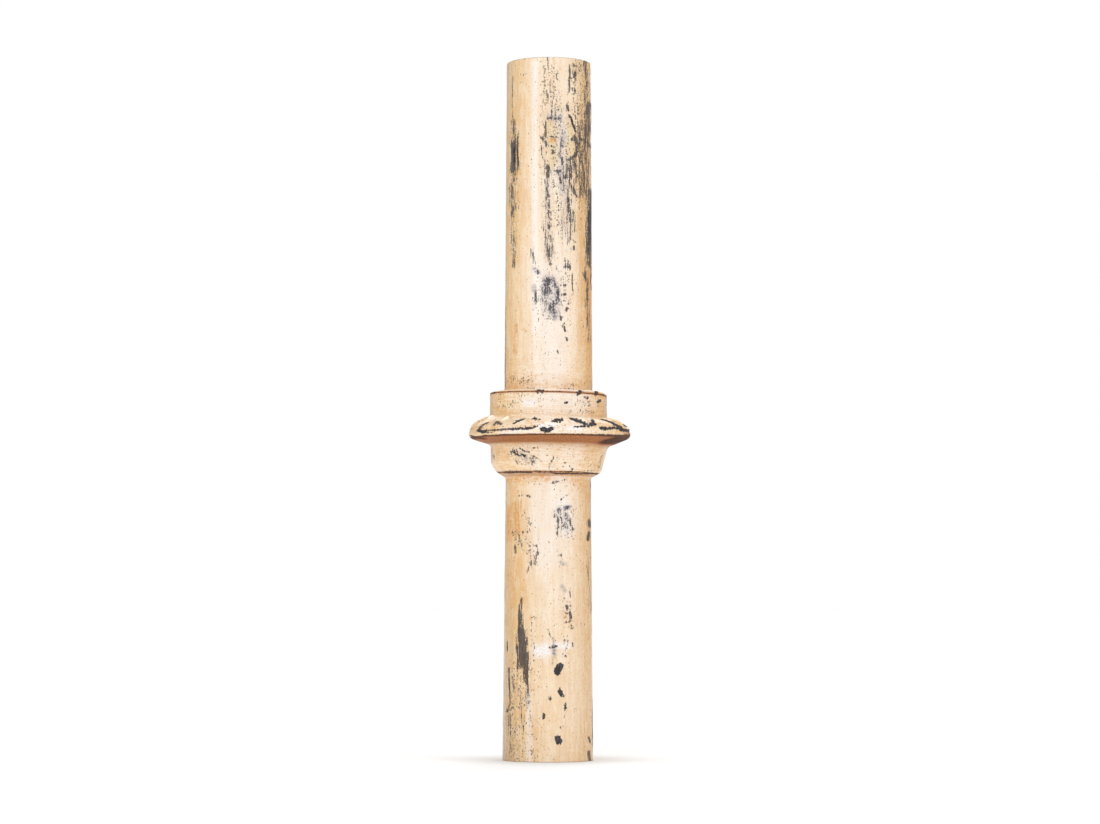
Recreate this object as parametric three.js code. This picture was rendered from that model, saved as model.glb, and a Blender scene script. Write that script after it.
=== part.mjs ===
// Cast iron column: a length of round hollow shaft with a moulded collar at half height.
//
// The column is one casting, about a metre long and cut square at both ends. It stands on
// its lower end. Millimetres, +Z up, front towards -Y, origin on the shaft's axis at the
// lower end.
//
// One closed outline of radius against height is carried round the axis. The mould had two
// halves that differ a little, so the outline blends from the left side's sizes (-X) to the
// right side's (+X) on the way round. On the upper slope of the flange it swells into leaves.

import * as THREE from 'three';

// Shaft
const HEIGHT = 920;
const BORE_RADIUS = 40;
const BASE_RADIUS = 59.5;
const NECK_RADIUS = 56.1;
const SHOULDER_RADIUS = 58;
const TOP_RADIUS = 56;

// Lower ring, below the flange
const NECK_HEIGHT = 369.8;
const RING_RADIUS = 76;
const RING_LIP_RADIUS = 66.5;
const FILLET_RISE = 1.15;

// Flange: the rounded rim, the groove above it and the slope up to the band
const RIM_EDGE_HEIGHT = 421.6;
const RIM_EDGE_INSET = 3.4;
const BEAD_FULLNESS = 1.7;
const GROOVE_HEIGHT = 431.2;
const GROOVE_DEPTH = 2.3;
const SLOPE_FOOT_HEIGHT = 433;
const SLOPE_FOOT_INSET = 1.2;
const SLOPE_PEAK = 0.8;

// Upper band, above the flange
const BAND_RADIUS = 77;
const BAND_HEIGHT = 482.5;
const PAINT_FILLET = 2;

// Ring of leaves on the flange's upper slope
const LEAF_COUNT = 10;
const LEAF_PITCH = (2 * Math.PI) / LEAF_COUNT;
const LEAF_RELIEF = 2.4;
const LEAF_HALF_WIDTH = THREE.MathUtils.degToRad(10.5);
const LEAF_EDGE = THREE.MathUtils.degToRad(2.6);
const LEAF_POINT = 0.75;
const FIRST_LEAF = THREE.MathUtils.degToRad(-60);

// Facets round the column, and points along each rounded stretch of the outline
const FACETS_PER_LEAF = 14;
const CORNER_POINTS = 5;
const FILLET_POINTS = 4;
const BEAD_STEPS = 5;
const SLOPE_STEPS = 6;
const EDGE_POINTS = 4;

// What differs between the two sides of the mould
const LEFT_SIDE = {
  ringFootRadius: 75.8,
  cornerHeight: 396.5,
  cornerDepth: 24,
  filletWidth: 5,
  soffitHeight: 415,
  rimReach: 105.4,
  beadHeight: 429.4,
  slopeTopHeight: 451.6,
  slopeBulge: 1.8,
  bandRound: 2,
};
const RIGHT_SIDE = {
  ringFootRadius: 70.8,
  cornerHeight: 383,
  cornerDepth: 11,
  filletWidth: 10,
  soffitHeight: 413.4,
  rimReach: 109,
  beadHeight: 427.4,
  slopeTopHeight: 446.6,
  slopeBulge: 4,
  bandRound: 5,
};

// Sizes of the outline at an angle about the axis, counted from +X
function sizesAt(angle) {
  const rightShare = (1 + Math.cos(angle)) / 2;
  const blended = Object.keys(LEFT_SIDE).map((name) => [
    name,
    THREE.MathUtils.lerp(LEFT_SIDE[name], RIGHT_SIDE[name], rightShare),
  ]);
  return Object.fromEntries(blended);
}

// Points of an elliptical arc about a centre. Angles run from the outward radius towards +Z.
function arc(centre, halfWidth, halfHeight, startAngle, endAngle, count) {
  return Array.from({ length: count }, (_, index) => {
    const angle = THREE.MathUtils.lerp(startAngle, endAngle, index / (count - 1));
    const radius = centre.x + halfWidth * Math.cos(angle);
    const height = centre.y + halfHeight * Math.sin(angle);
    return new THREE.Vector2(radius, height);
  });
}

// Lower ring: a rounded corner from its lip out to its face, then a hollow up to the soffit
function ringOutline(sizes) {
  const cornerWidth = sizes.ringFootRadius - NECK_RADIUS;
  const lipAngle = -Math.acos((RING_LIP_RADIUS - NECK_RADIUS) / cornerWidth);
  const cornerCentre = new THREE.Vector2(NECK_RADIUS, sizes.cornerHeight);
  const corner = arc(cornerCentre, cornerWidth, sizes.cornerDepth, lipAngle, 0, CORNER_POINTS);
  const filletDepth = sizes.filletWidth * FILLET_RISE;
  const filletCentre = new THREE.Vector2(RING_RADIUS + sizes.filletWidth, sizes.soffitHeight - filletDepth);
  const fillet = arc(filletCentre, sizes.filletWidth, filletDepth, Math.PI, Math.PI / 2, FILLET_POINTS);
  return [...corner, ...fillet];
}

// Rim of the flange: a sharp lower edge, then a rounded bead up to the groove above it
function rimOutline(sizes) {
  const edge = new THREE.Vector2(sizes.rimReach - RIM_EDGE_INSET, RIM_EDGE_HEIGHT);
  const crown = new THREE.Vector2(sizes.rimReach + BEAD_FULLNESS, sizes.beadHeight - BEAD_FULLNESS);
  const groove = new THREE.Vector2(sizes.rimReach - GROOVE_DEPTH, GROOVE_HEIGHT);
  return new THREE.QuadraticBezierCurve(edge, crown, groove).getPoints(BEAD_STEPS);
}

// Relief of the leaves, from 0 to 1. A leaf hangs from the band, widest there, with its tip
// at the rim. Share runs up the slope from the rim to the band.
function leafRelief(angle, share) {
  const turn = THREE.MathUtils.euclideanModulo(angle - FIRST_LEAF + LEAF_PITCH / 2, LEAF_PITCH) - LEAF_PITCH / 2;
  const halfWidth = LEAF_HALF_WIDTH * Math.pow(share, LEAF_POINT);
  const raised = THREE.MathUtils.smoothstep(halfWidth - Math.abs(turn), -LEAF_EDGE, LEAF_EDGE);
  return raised * Math.sin(Math.PI * Math.pow(share, LEAF_POINT));
}

// Slope of the flange: a straight line from the rim to the band that bulges and carries the leaves
function slopeOutline(sizes, angle) {
  const foot = new THREE.Vector2(sizes.rimReach - SLOPE_FOOT_INSET, SLOPE_FOOT_HEIGHT);
  const top = new THREE.Vector2(BAND_RADIUS, sizes.slopeTopHeight);
  const normal = new THREE.Vector2(top.y - foot.y, foot.x - top.x).normalize();
  return Array.from({ length: SLOPE_STEPS + 1 }, (_, index) => {
    const share = index / SLOPE_STEPS;
    const bow = Math.pow(share, SLOPE_PEAK);
    const swell = sizes.slopeBulge * 4 * bow * (1 - bow) + LEAF_RELIEF * leafRelief(angle, share);
    return foot.clone().lerp(top, share).addScaledVector(normal, swell);
  });
}

// Upper band: its rounded top edge, the ledge, and the paint that fills the corner at the shaft
function bandOutline(sizes) {
  const edgeCentre = new THREE.Vector2(BAND_RADIUS - sizes.bandRound, BAND_HEIGHT - sizes.bandRound);
  return [
    ...arc(edgeCentre, sizes.bandRound, sizes.bandRound, 0, Math.PI / 2, EDGE_POINTS),
    new THREE.Vector2(SHOULDER_RADIUS + PAINT_FILLET, BAND_HEIGHT),
    new THREE.Vector2(SHOULDER_RADIUS, BAND_HEIGHT + PAINT_FILLET),
  ];
}

// Whole closed outline at an angle, from the bore's lower end out, up, over and back down
function columnOutline(angle) {
  const sizes = sizesAt(angle);
  return [
    new THREE.Vector2(BORE_RADIUS, 0),
    new THREE.Vector2(BASE_RADIUS, 0),
    new THREE.Vector2(NECK_RADIUS, NECK_HEIGHT),
    ...ringOutline(sizes),
    ...rimOutline(sizes),
    ...slopeOutline(sizes, angle),
    ...bandOutline(sizes),
    new THREE.Vector2(TOP_RADIUS, HEIGHT),
    new THREE.Vector2(BORE_RADIUS, HEIGHT),
    new THREE.Vector2(BORE_RADIUS, 0),
  ];
}

// Column: a turned shape whose every meridian then takes the outline of its own angle
function columnGeometry() {
  const facets = LEAF_COUNT * FACETS_PER_LEAF;
  const firstOutline = columnOutline(0);
  const geometry = new THREE.LatheGeometry(firstOutline, facets);
  geometry.rotateX(Math.PI / 2);
  for (let meridian = 0; meridian <= facets; meridian += 1) {
    const angle = ((meridian % facets) / facets) * 2 * Math.PI - Math.PI / 2;
    columnOutline(angle).forEach((point, row) => {
      const vertex = meridian * firstOutline.length + row;
      const x = point.x * Math.cos(angle);
      const y = point.x * Math.sin(angle);
      geometry.attributes.position.setXYZ(vertex, x, y, point.y);
    });
  }
  return geometry;
}

const creamPaint = new THREE.MeshStandardMaterial({ color: 0xf0d3ac, roughness: 0.45, metalness: 0 });

const column = new THREE.Mesh(columnGeometry(), creamPaint);
column.name = 'column';

const castIronColumn = new THREE.Group();
castIronColumn.add(column);

export default castIronColumn;
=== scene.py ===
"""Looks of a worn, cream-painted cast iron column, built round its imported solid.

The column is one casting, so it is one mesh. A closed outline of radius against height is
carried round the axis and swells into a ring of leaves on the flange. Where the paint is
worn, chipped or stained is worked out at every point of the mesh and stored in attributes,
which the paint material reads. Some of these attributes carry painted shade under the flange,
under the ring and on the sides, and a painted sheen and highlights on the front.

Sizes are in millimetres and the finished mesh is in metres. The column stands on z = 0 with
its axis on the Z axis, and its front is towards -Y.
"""

from __future__ import annotations

import logging
import math
from dataclasses import dataclass, field
from enum import Enum

import bpy
import numpy as np
from mathutils import Matrix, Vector
from numpy.typing import NDArray


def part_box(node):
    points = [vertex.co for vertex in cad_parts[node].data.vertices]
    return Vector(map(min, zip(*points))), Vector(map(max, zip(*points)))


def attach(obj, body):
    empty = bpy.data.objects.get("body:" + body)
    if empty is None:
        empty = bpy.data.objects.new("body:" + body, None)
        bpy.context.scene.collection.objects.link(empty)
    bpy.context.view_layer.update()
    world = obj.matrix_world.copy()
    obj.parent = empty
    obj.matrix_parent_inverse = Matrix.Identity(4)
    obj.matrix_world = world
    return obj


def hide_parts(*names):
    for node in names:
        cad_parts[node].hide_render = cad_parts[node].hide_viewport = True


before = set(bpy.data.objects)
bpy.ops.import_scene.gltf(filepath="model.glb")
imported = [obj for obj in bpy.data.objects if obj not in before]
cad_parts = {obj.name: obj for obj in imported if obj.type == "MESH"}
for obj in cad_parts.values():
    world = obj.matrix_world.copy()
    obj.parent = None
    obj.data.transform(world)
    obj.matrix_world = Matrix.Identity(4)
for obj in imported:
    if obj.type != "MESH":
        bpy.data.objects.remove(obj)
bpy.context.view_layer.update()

Array = NDArray[np.float64]
Colour = tuple[float, float, float]
Point = tuple[float, float]

LOG = logging.getLogger("column")
METRES = 0.001
CURVE_POINTS = 64
NODE = "column"
BODY = "root"


@dataclass(frozen=True)
class Viewpoint:
    """The photograph's camera: where it stood, and how its pixels fall on the column.

    The photograph is 1100 by 824 pixels. Places on the column are read from it as pixels,
    and the camera turns them into an angle round the axis and a height.
    """

    image_width: int = 1100
    image_height: int = 824
    focal_pixels: float = 3000.0
    sensor_width: float = 36.0
    distance: float = 3952.7
    height: float = 209.3
    aside: float = 2.1
    pitch: float = math.radians(3.586)
    roll: float = math.radians(0.0985)

    @property
    def lens(self) -> float:
        """Focal length in millimetres on the sensor."""
        return self.focal_pixels / self.image_width * self.sensor_width

    def place(self, x: float, y: float, radius: float) -> tuple[float, float]:
        """Find the point of the column's front that a pixel shows.

        The pixel's ray is followed to the surface: the angle round the axis comes from how
        far it passes from the axis, and the height from how steeply it climbs.

        Args:
            x: Pixel column in the photograph.
            y: Pixel row in the photograph.
            radius: Radius of the surface there.

        Returns:
            The angle from the front, towards +X, in radians, and the height.
        """
        right = (x - self.image_width / 2) / self.focal_pixels
        up = (self.image_height / 2 - y) / self.focal_pixels
        right, up = (
            right * math.cos(self.roll) - up * math.sin(self.roll),
            right * math.sin(self.roll) + up * math.cos(self.roll),
        )
        slope = math.tan(self.pitch + math.atan(up))
        spread = right / (math.cos(self.pitch) - up * math.sin(self.pitch))
        reach = self.distance - radius
        for _ in range(3):
            across = self.aside + spread * reach
            angle = math.asin(max(-1.0, min(1.0, across / radius)))
            reach = self.distance - radius * math.cos(angle)
        return angle, self.height + reach * slope

    def build(self) -> bpy.types.Object:
        """Make the camera and give it to the scene."""
        data = bpy.data.cameras.new("photo_camera")
        data.sensor_width = self.sensor_width
        data.lens = self.lens
        data.clip_start = 0.1
        data.clip_end = 200.0
        camera = bpy.data.objects.new("photo_camera", data)
        camera.location = (self.aside * METRES, -self.distance * METRES, self.height * METRES)
        turn = Matrix.Rotation(math.pi / 2 + self.pitch, 4, "X") @ Matrix.Rotation(self.roll, 4, "Z")
        camera.rotation_euler = turn.to_euler()
        bpy.context.scene.collection.objects.link(camera)
        bpy.context.scene.camera = camera
        return camera


class Ripple:
    """Smooth seeded noise: a sum of plane waves with random directions and phases."""

    def __init__(self, size: float, seed: int, waves: int = 28) -> None:
        """Draw the waves.

        Args:
            size: Typical distance between two crests.
            seed: Seed of the random directions and phases.
            waves: Number of waves in the sum.
        """
        rng = np.random.default_rng(seed)
        direction = rng.normal(size=(waves, 3))
        direction /= np.linalg.norm(direction, axis=1, keepdims=True)
        crests = size * rng.uniform(0.7, 1.5, size=(waves, 1))
        self.vectors: Array = direction * 2 * np.pi / crests
        self.phases: Array = rng.uniform(0, 2 * np.pi, size=waves)

    def at(self, points: Array) -> Array:
        """Give the noise at points, about -1 to 1: the sum of cosines over the root of their number."""
        angles = points @ self.vectors.T + self.phases
        return np.cos(angles).sum(axis=-1) / math.sqrt(len(self.phases))


@dataclass(frozen=True)
class MouldSide:
    """Sizes that differ between the left and the right half of the casting's mould."""

    ring_foot_radius: float
    corner_height: float
    corner_depth: float
    fillet_width: float
    soffit_height: float
    rim_reach: float
    bead_height: float
    slope_top_height: float
    slope_bulge: float
    band_round: float


LEFT = MouldSide(
    ring_foot_radius=75.8,
    corner_height=396.5,
    corner_depth=24.0,
    fillet_width=5.0,
    soffit_height=415.0,
    rim_reach=105.4,
    bead_height=429.4,
    slope_top_height=451.6,
    slope_bulge=1.8,
    band_round=2.0,
)
RIGHT = MouldSide(
    ring_foot_radius=70.8,
    corner_height=383.0,
    corner_depth=11.0,
    fillet_width=10.0,
    soffit_height=413.4,
    rim_reach=109.0,
    bead_height=427.4,
    slope_top_height=446.6,
    slope_bulge=4.0,
    band_round=5.0,
)


@dataclass(frozen=True)
class Outline:
    """The column's closed outline of radius against height, as the mould's two halves give it."""

    height: float
    bore_radius: float = 40.0
    base_radius: float = 59.5
    neck_radius: float = 56.1
    shoulder_radius: float = 58.0
    top_radius: float = 56.0
    neck_height: float = 369.8
    ring_radius: float = 76.0
    ring_lip_radius: float = 66.5
    fillet_rise: float = 1.15
    rim_edge_height: float = 421.6
    rim_edge_inset: float = 3.4
    bead_fullness: float = 1.7
    groove_height: float = 431.2
    groove_depth: float = 2.3
    slope_foot_height: float = 433.0
    slope_foot_inset: float = 1.2
    slope_peak: float = 0.8
    band_radius: float = 77.0
    band_height: float = 482.5
    paint_fillet: float = 2.0
    sawn_edge: float = 0.6
    step: float = 0.5
    paint_softening: float = 1.3

    def stretches(self, side: MouldSide) -> dict[str, Array]:
        """Work out each stretch of the outline, in order from the sawn lower end, out and up.

        Straight stretches are lines between two named points. The ring's corner and fillet
        and the band's edge are arcs: centre plus radii times the cosine and sine of an even
        run of angles. The rim's bead is a quadratic curve, and the flange's slope is a line
        that bulges by four times its share times what is left of it.

        Args:
            side: The half of the mould.

        Returns:
            Points of radius and height for each stretch, by name.
        """
        corner_width = side.ring_foot_radius - self.neck_radius
        lip_angle = -math.acos((self.ring_lip_radius - self.neck_radius) / corner_width)
        fillet_depth = side.fillet_width * self.fillet_rise
        fillet_centre = (self.ring_radius + side.fillet_width, side.soffit_height - fillet_depth)
        edge_centre = (self.band_radius - side.band_round, self.band_height - side.band_round)
        corner = self.arc(
            (self.neck_radius, side.corner_height), corner_width, side.corner_depth, lip_angle, 0.0
        )
        fillet = self.arc(fillet_centre, side.fillet_width, fillet_depth, math.pi, math.pi / 2)
        band_edge = self.arc(edge_centre, side.band_round, side.band_round, 0.0, math.pi / 2)
        bead = self.bead(side)
        slope = self.slope(side)
        neck = (self.neck_radius, self.neck_height)
        shoulder = (self.shoulder_radius, self.band_height + self.paint_fillet)
        ledge = (self.shoulder_radius + self.paint_fillet, self.band_height)
        top = (self.top_radius, self.height - self.sawn_edge)
        return {
            "lower_shaft": self.line((self.base_radius, self.sawn_edge), neck),
            "underside": self.line(neck, corner[0]),
            "ring_corner": corner,
            "ring_face": self.line(corner[-1], fillet[0]),
            "ring_fillet": fillet,
            "soffit": self.line(fillet[-1], bead[0]),
            "rim": bead,
            "groove": self.line(bead[-1], slope[0]),
            "slope": slope,
            "band": self.line(slope[-1], band_edge[0]),
            "band_edge": band_edge,
            "ledge": self.line(band_edge[-1], ledge),
            "paint_fillet": self.line(ledge, shoulder),
            "upper_shaft": self.line(shoulder, top),
        }

    def even(self, curve: Array) -> Array:
        """Space a curve's points evenly, about one step apart along it."""
        length = np.concatenate([[0.0], np.cumsum(np.linalg.norm(np.diff(curve, axis=0), axis=1))])
        place = np.linspace(0.0, length[-1], max(2, round(length[-1] / self.step) + 1))
        return np.stack([np.interp(place, length, curve[:, axis]) for axis in (0, 1)], axis=-1)

    def line(self, start: Array | Point, end: Array | Point) -> Array:
        """Give a straight line from a start to an end."""
        return self.even(np.array([start, end], float))

    def arc(self, centre: Point, across: float, along: float, start: float, end: float) -> Array:
        """Give an elliptical arc: its centre plus the two radii times cosine and sine."""
        angle = np.linspace(start, end, CURVE_POINTS)
        points = [centre[0] + across * np.cos(angle), centre[1] + along * np.sin(angle)]
        return self.even(np.stack(points, axis=-1))

    def bead(self, side: MouldSide) -> Array:
        """Give the rim's bead: a quadratic curve from its lower edge, past its crown, to the groove."""
        edge = np.array([side.rim_reach - self.rim_edge_inset, self.rim_edge_height])
        crown = np.array([side.rim_reach + self.bead_fullness, side.bead_height - self.bead_fullness])
        groove = np.array([side.rim_reach - self.groove_depth, self.groove_height])
        share = np.linspace(0.0, 1.0, CURVE_POINTS)[:, None]
        return self.even((1 - share) ** 2 * edge + 2 * share * (1 - share) * crown + share**2 * groove)

    def slope(self, side: MouldSide) -> Array:
        """Give the flange's slope from its foot at the rim to the band, bulging outwards."""
        foot = np.array([side.rim_reach - self.slope_foot_inset, self.slope_foot_height])
        top = np.array([self.band_radius, side.slope_top_height])
        outward = np.array([top[1] - foot[1], foot[0] - top[0]])
        outward /= np.linalg.norm(outward)
        share = np.linspace(0.0, 1.0, CURVE_POINTS)[:, None]
        bow = share**self.slope_peak
        return self.even(foot + (top - foot) * share + outward * side.slope_bulge * 4 * bow * (1 - bow))

    def soften(self, points: Array) -> Array:
        """Round the creases as coats of paint do: a bell-shaped average along the outline."""
        spread = self.paint_softening / self.step
        offsets = np.arange(-math.ceil(3 * spread), math.ceil(3 * spread) + 1)
        weights = np.exp(-0.5 * (offsets / spread) ** 2)
        weights /= weights.sum()
        padded = np.pad(points, ((len(offsets) // 2,) * 2, (0, 0)), mode="reflect", reflect_type="odd")
        return np.stack([np.convolve(padded[:, axis], weights, mode="valid") for axis in (0, 1)], axis=-1)


@dataclass(frozen=True)
class Rows:
    """The rows of the column's grid, from its bore's lower end out, up, over and back down.

    A row's run is its distance along the outline from the sawn lower edge. The ends and the
    bore are not outside, and their run is far below nought, where no wear reaches.
    """

    left: Array
    right: Array
    run: Array
    outside: Array
    starts: dict[str, float]

    @property
    def count(self) -> int:
        """Number of rows."""
        return len(self.run)

    def past(self, stretch: str) -> Array:
        """Give each row's distance past the start of a stretch, as a column of the grid."""
        return (self.run - self.starts[stretch])[:, None]

    def share(self, stretch: str, following: str) -> Array:
        """Give each row's share of the way from one stretch's start to the next one's."""
        length = self.starts[following] - self.starts[stretch]
        return np.clip(self.past(stretch) / length, 0.0, 1.0)


@dataclass(frozen=True)
class RowPlan:
    """How closely the rows of the grid follow each other on each kind of stretch."""

    shaft_spacing: float = 3.0
    collar_spacing: float = 1.55
    bore_rows: int = 8
    far_run: float = -1000.0

    def lay(self, outline: Outline) -> Rows:
        """Lay the rows along the outline of both mould halves.

        The two halves have the same stretches, and each stretch is sampled evenly by its own
        share, so a row is the same feature on both.

        Args:
            outline: The column's outline.

        Returns:
            The rows of the closed outline.
        """
        left_parts = outline.stretches(LEFT)
        right_parts = outline.stretches(RIGHT)
        left, right, first = [], [], [0]
        for name, part in left_parts.items():
            count = max(len(part), len(right_parts[name]))
            left.append(self.resample(part, count)[:-1])
            right.append(self.resample(right_parts[name], count)[:-1])
            first.append(first[-1] + count - 1)
        last_name = list(left_parts)[-1]
        sides = [
            outline.soften(np.concatenate([*left, left_parts[last_name][-1:]])),
            outline.soften(np.concatenate([*right, right_parts[last_name][-1:]])),
        ]
        steps = np.linalg.norm(np.diff(sum(sides) / 2, axis=0), axis=1)
        run = np.concatenate([[0.0], np.cumsum(steps)])
        starts = {name: run[index] for name, index in zip(left_parts, first)}
        places = []
        for name, begin, end in zip(left_parts, run[first[:-1]], run[first[1:]]):
            spacing = self.shaft_spacing if name.endswith("shaft") else self.collar_spacing
            places.append(np.linspace(begin, end, max(2, round((end - begin) / spacing)), endpoint=False))
        place = np.concatenate([*places, run[-1:]])
        outer = [
            np.stack([np.interp(place, run, side[:, axis]) for axis in (0, 1)], axis=-1) for side in sides
        ]
        return self.close(outline, outer, place, starts)

    @staticmethod
    def resample(points: Array, count: int) -> Array:
        """Give a stretch a number of points, at even shares of the points it has."""
        share = np.linspace(0, len(points) - 1, count)
        index = np.arange(len(points))
        return np.stack([np.interp(share, index, points[:, axis]) for axis in (0, 1)], axis=-1)

    def close(self, outline: Outline, outer: list[Array], run: Array, starts: dict[str, float]) -> Rows:
        """Add the sawn ends, with a narrow chamfer on each edge, and the bore.

        Args:
            outline: The column's outline.
            outer: Points of the outer skin for the left and the right half.
            run: Distance of each of them along the outline.
            starts: Run at which each stretch starts.

        Returns:
            The rows of the closed outline.
        """
        middle = (outline.bore_radius + outline.base_radius) / 2
        edge = outline.sawn_edge
        lower_end = np.array(
            [
                [outline.bore_radius, edge],
                [outline.bore_radius + edge, 0.0],
                [middle, 0.0],
                [outline.base_radius - edge, 0.0],
            ]
        )
        upper_end = np.array(
            [
                [outline.top_radius - edge, outline.height],
                [middle, outline.height],
                [outline.bore_radius + edge, outline.height],
            ]
        )
        bore_heights = np.linspace(outline.height - edge, edge, self.bore_rows, endpoint=False)
        bore = np.stack([np.full(self.bore_rows, outline.bore_radius), bore_heights], axis=-1)
        before = len(lower_end)
        after = len(upper_end) + len(bore)
        return Rows(
            left=np.concatenate([lower_end, outer[0], upper_end, bore]),
            right=np.concatenate([lower_end, outer[1], upper_end, bore]),
            run=np.pad(run, (before, after), constant_values=self.far_run),
            outside=np.pad(np.ones(len(run)), (before, after)),
            starts=starts,
        )


@dataclass(frozen=True)
class Leaves:
    """The ring of leaves cast on the flange's upper slope, softened by many coats of paint."""

    count: int = 10
    relief: float = 2.2
    rib: float = 1.0
    vein: float = 0.7
    half_width: float = math.radians(10.5)
    softness: float = math.radians(1.6)
    point: float = 0.75
    first: float = math.radians(30.0)

    def turn(self, azimuth: Array) -> Array:
        """Give the angle from the nearest leaf's middle line."""
        pitch = 2 * math.pi / self.count
        return (azimuth - self.first + pitch / 2) % pitch - pitch / 2

    def from_edge(self, azimuth: Array, share: Array) -> Array:
        """Give the angle from the nearest leaf's edge."""
        return np.abs(np.abs(self.turn(azimuth)) - self.half_width * share**self.point)

    def raised(self, azimuth: Array, share: Array) -> Array:
        """Work out how far the leaves stand out of the slope.

        A leaf hangs from the band with its tip at the rim. Its half width grows with the
        share of the slope to a power. It is a flat swelling with a rib along its edge and a
        vein down its middle, and both ends of the slope fade out.

        Args:
            azimuth: Angle round the axis.
            share: Share of the slope, from the rim to the band.

        Returns:
            Height of the relief in millimetres.
        """
        turn = np.abs(self.turn(azimuth))
        edge = self.half_width * share**self.point
        inside = 1 / (1 + np.exp(-(edge - turn) / (self.softness * 0.4)))
        rib = np.exp(-(((turn - edge + self.softness) / self.softness) ** 2))
        vein = np.exp(-((turn / self.softness) ** 2))
        fade = np.sin(np.pi * share**self.point)
        return fade * (inside * (self.relief - self.rib * 0.6) + rib * self.rib + vein * self.vein * inside)


class Layer(Enum):
    """A kind of change in the paint's colour, some of them painted light and shade. Its value names the
    attribute that carries it.
    """

    BARE = "bare"
    RUBBED = "rubbed"
    SPECKS = "specks"
    UNDERCOAT = "undercoat"
    # stains, with painted shade in the collar's hollows, just under the ring and on the sides
    STAIN = "stain"
    # chalky pale paint, with painted highlights and painted sheen on the front
    PALE = "pale"
    # grime with painted shade: under the flange, under the ring's lip and along the collar's edges
    GRIME = "grime"
    # darker towards both ends, with painted shade on the sides
    SOILED = "soiled"
    FRESH = "fresh"
    # painted sheen: the front paler where the light falls most
    FADED = "faded"
    BRUSHED = "brushed"


@dataclass(frozen=True)
class Mark:
    """A stretch of changed paint along a path on the column's skin.

    The path's points are pixels of the photograph, across and down, and the width is the
    one that the photograph shows, in millimetres at the column's axis. On the sides that it
    doesn't show they are degrees round from the front and heights, with the real width. The
    end width is a share of the width at the start.
    """

    name: str
    wide: float
    path: tuple[Point, ...]
    strength: float = 1.0
    end: float = 1.0
    in_photo: bool = True


Marks = dict[Layer, list[Mark]]

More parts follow.
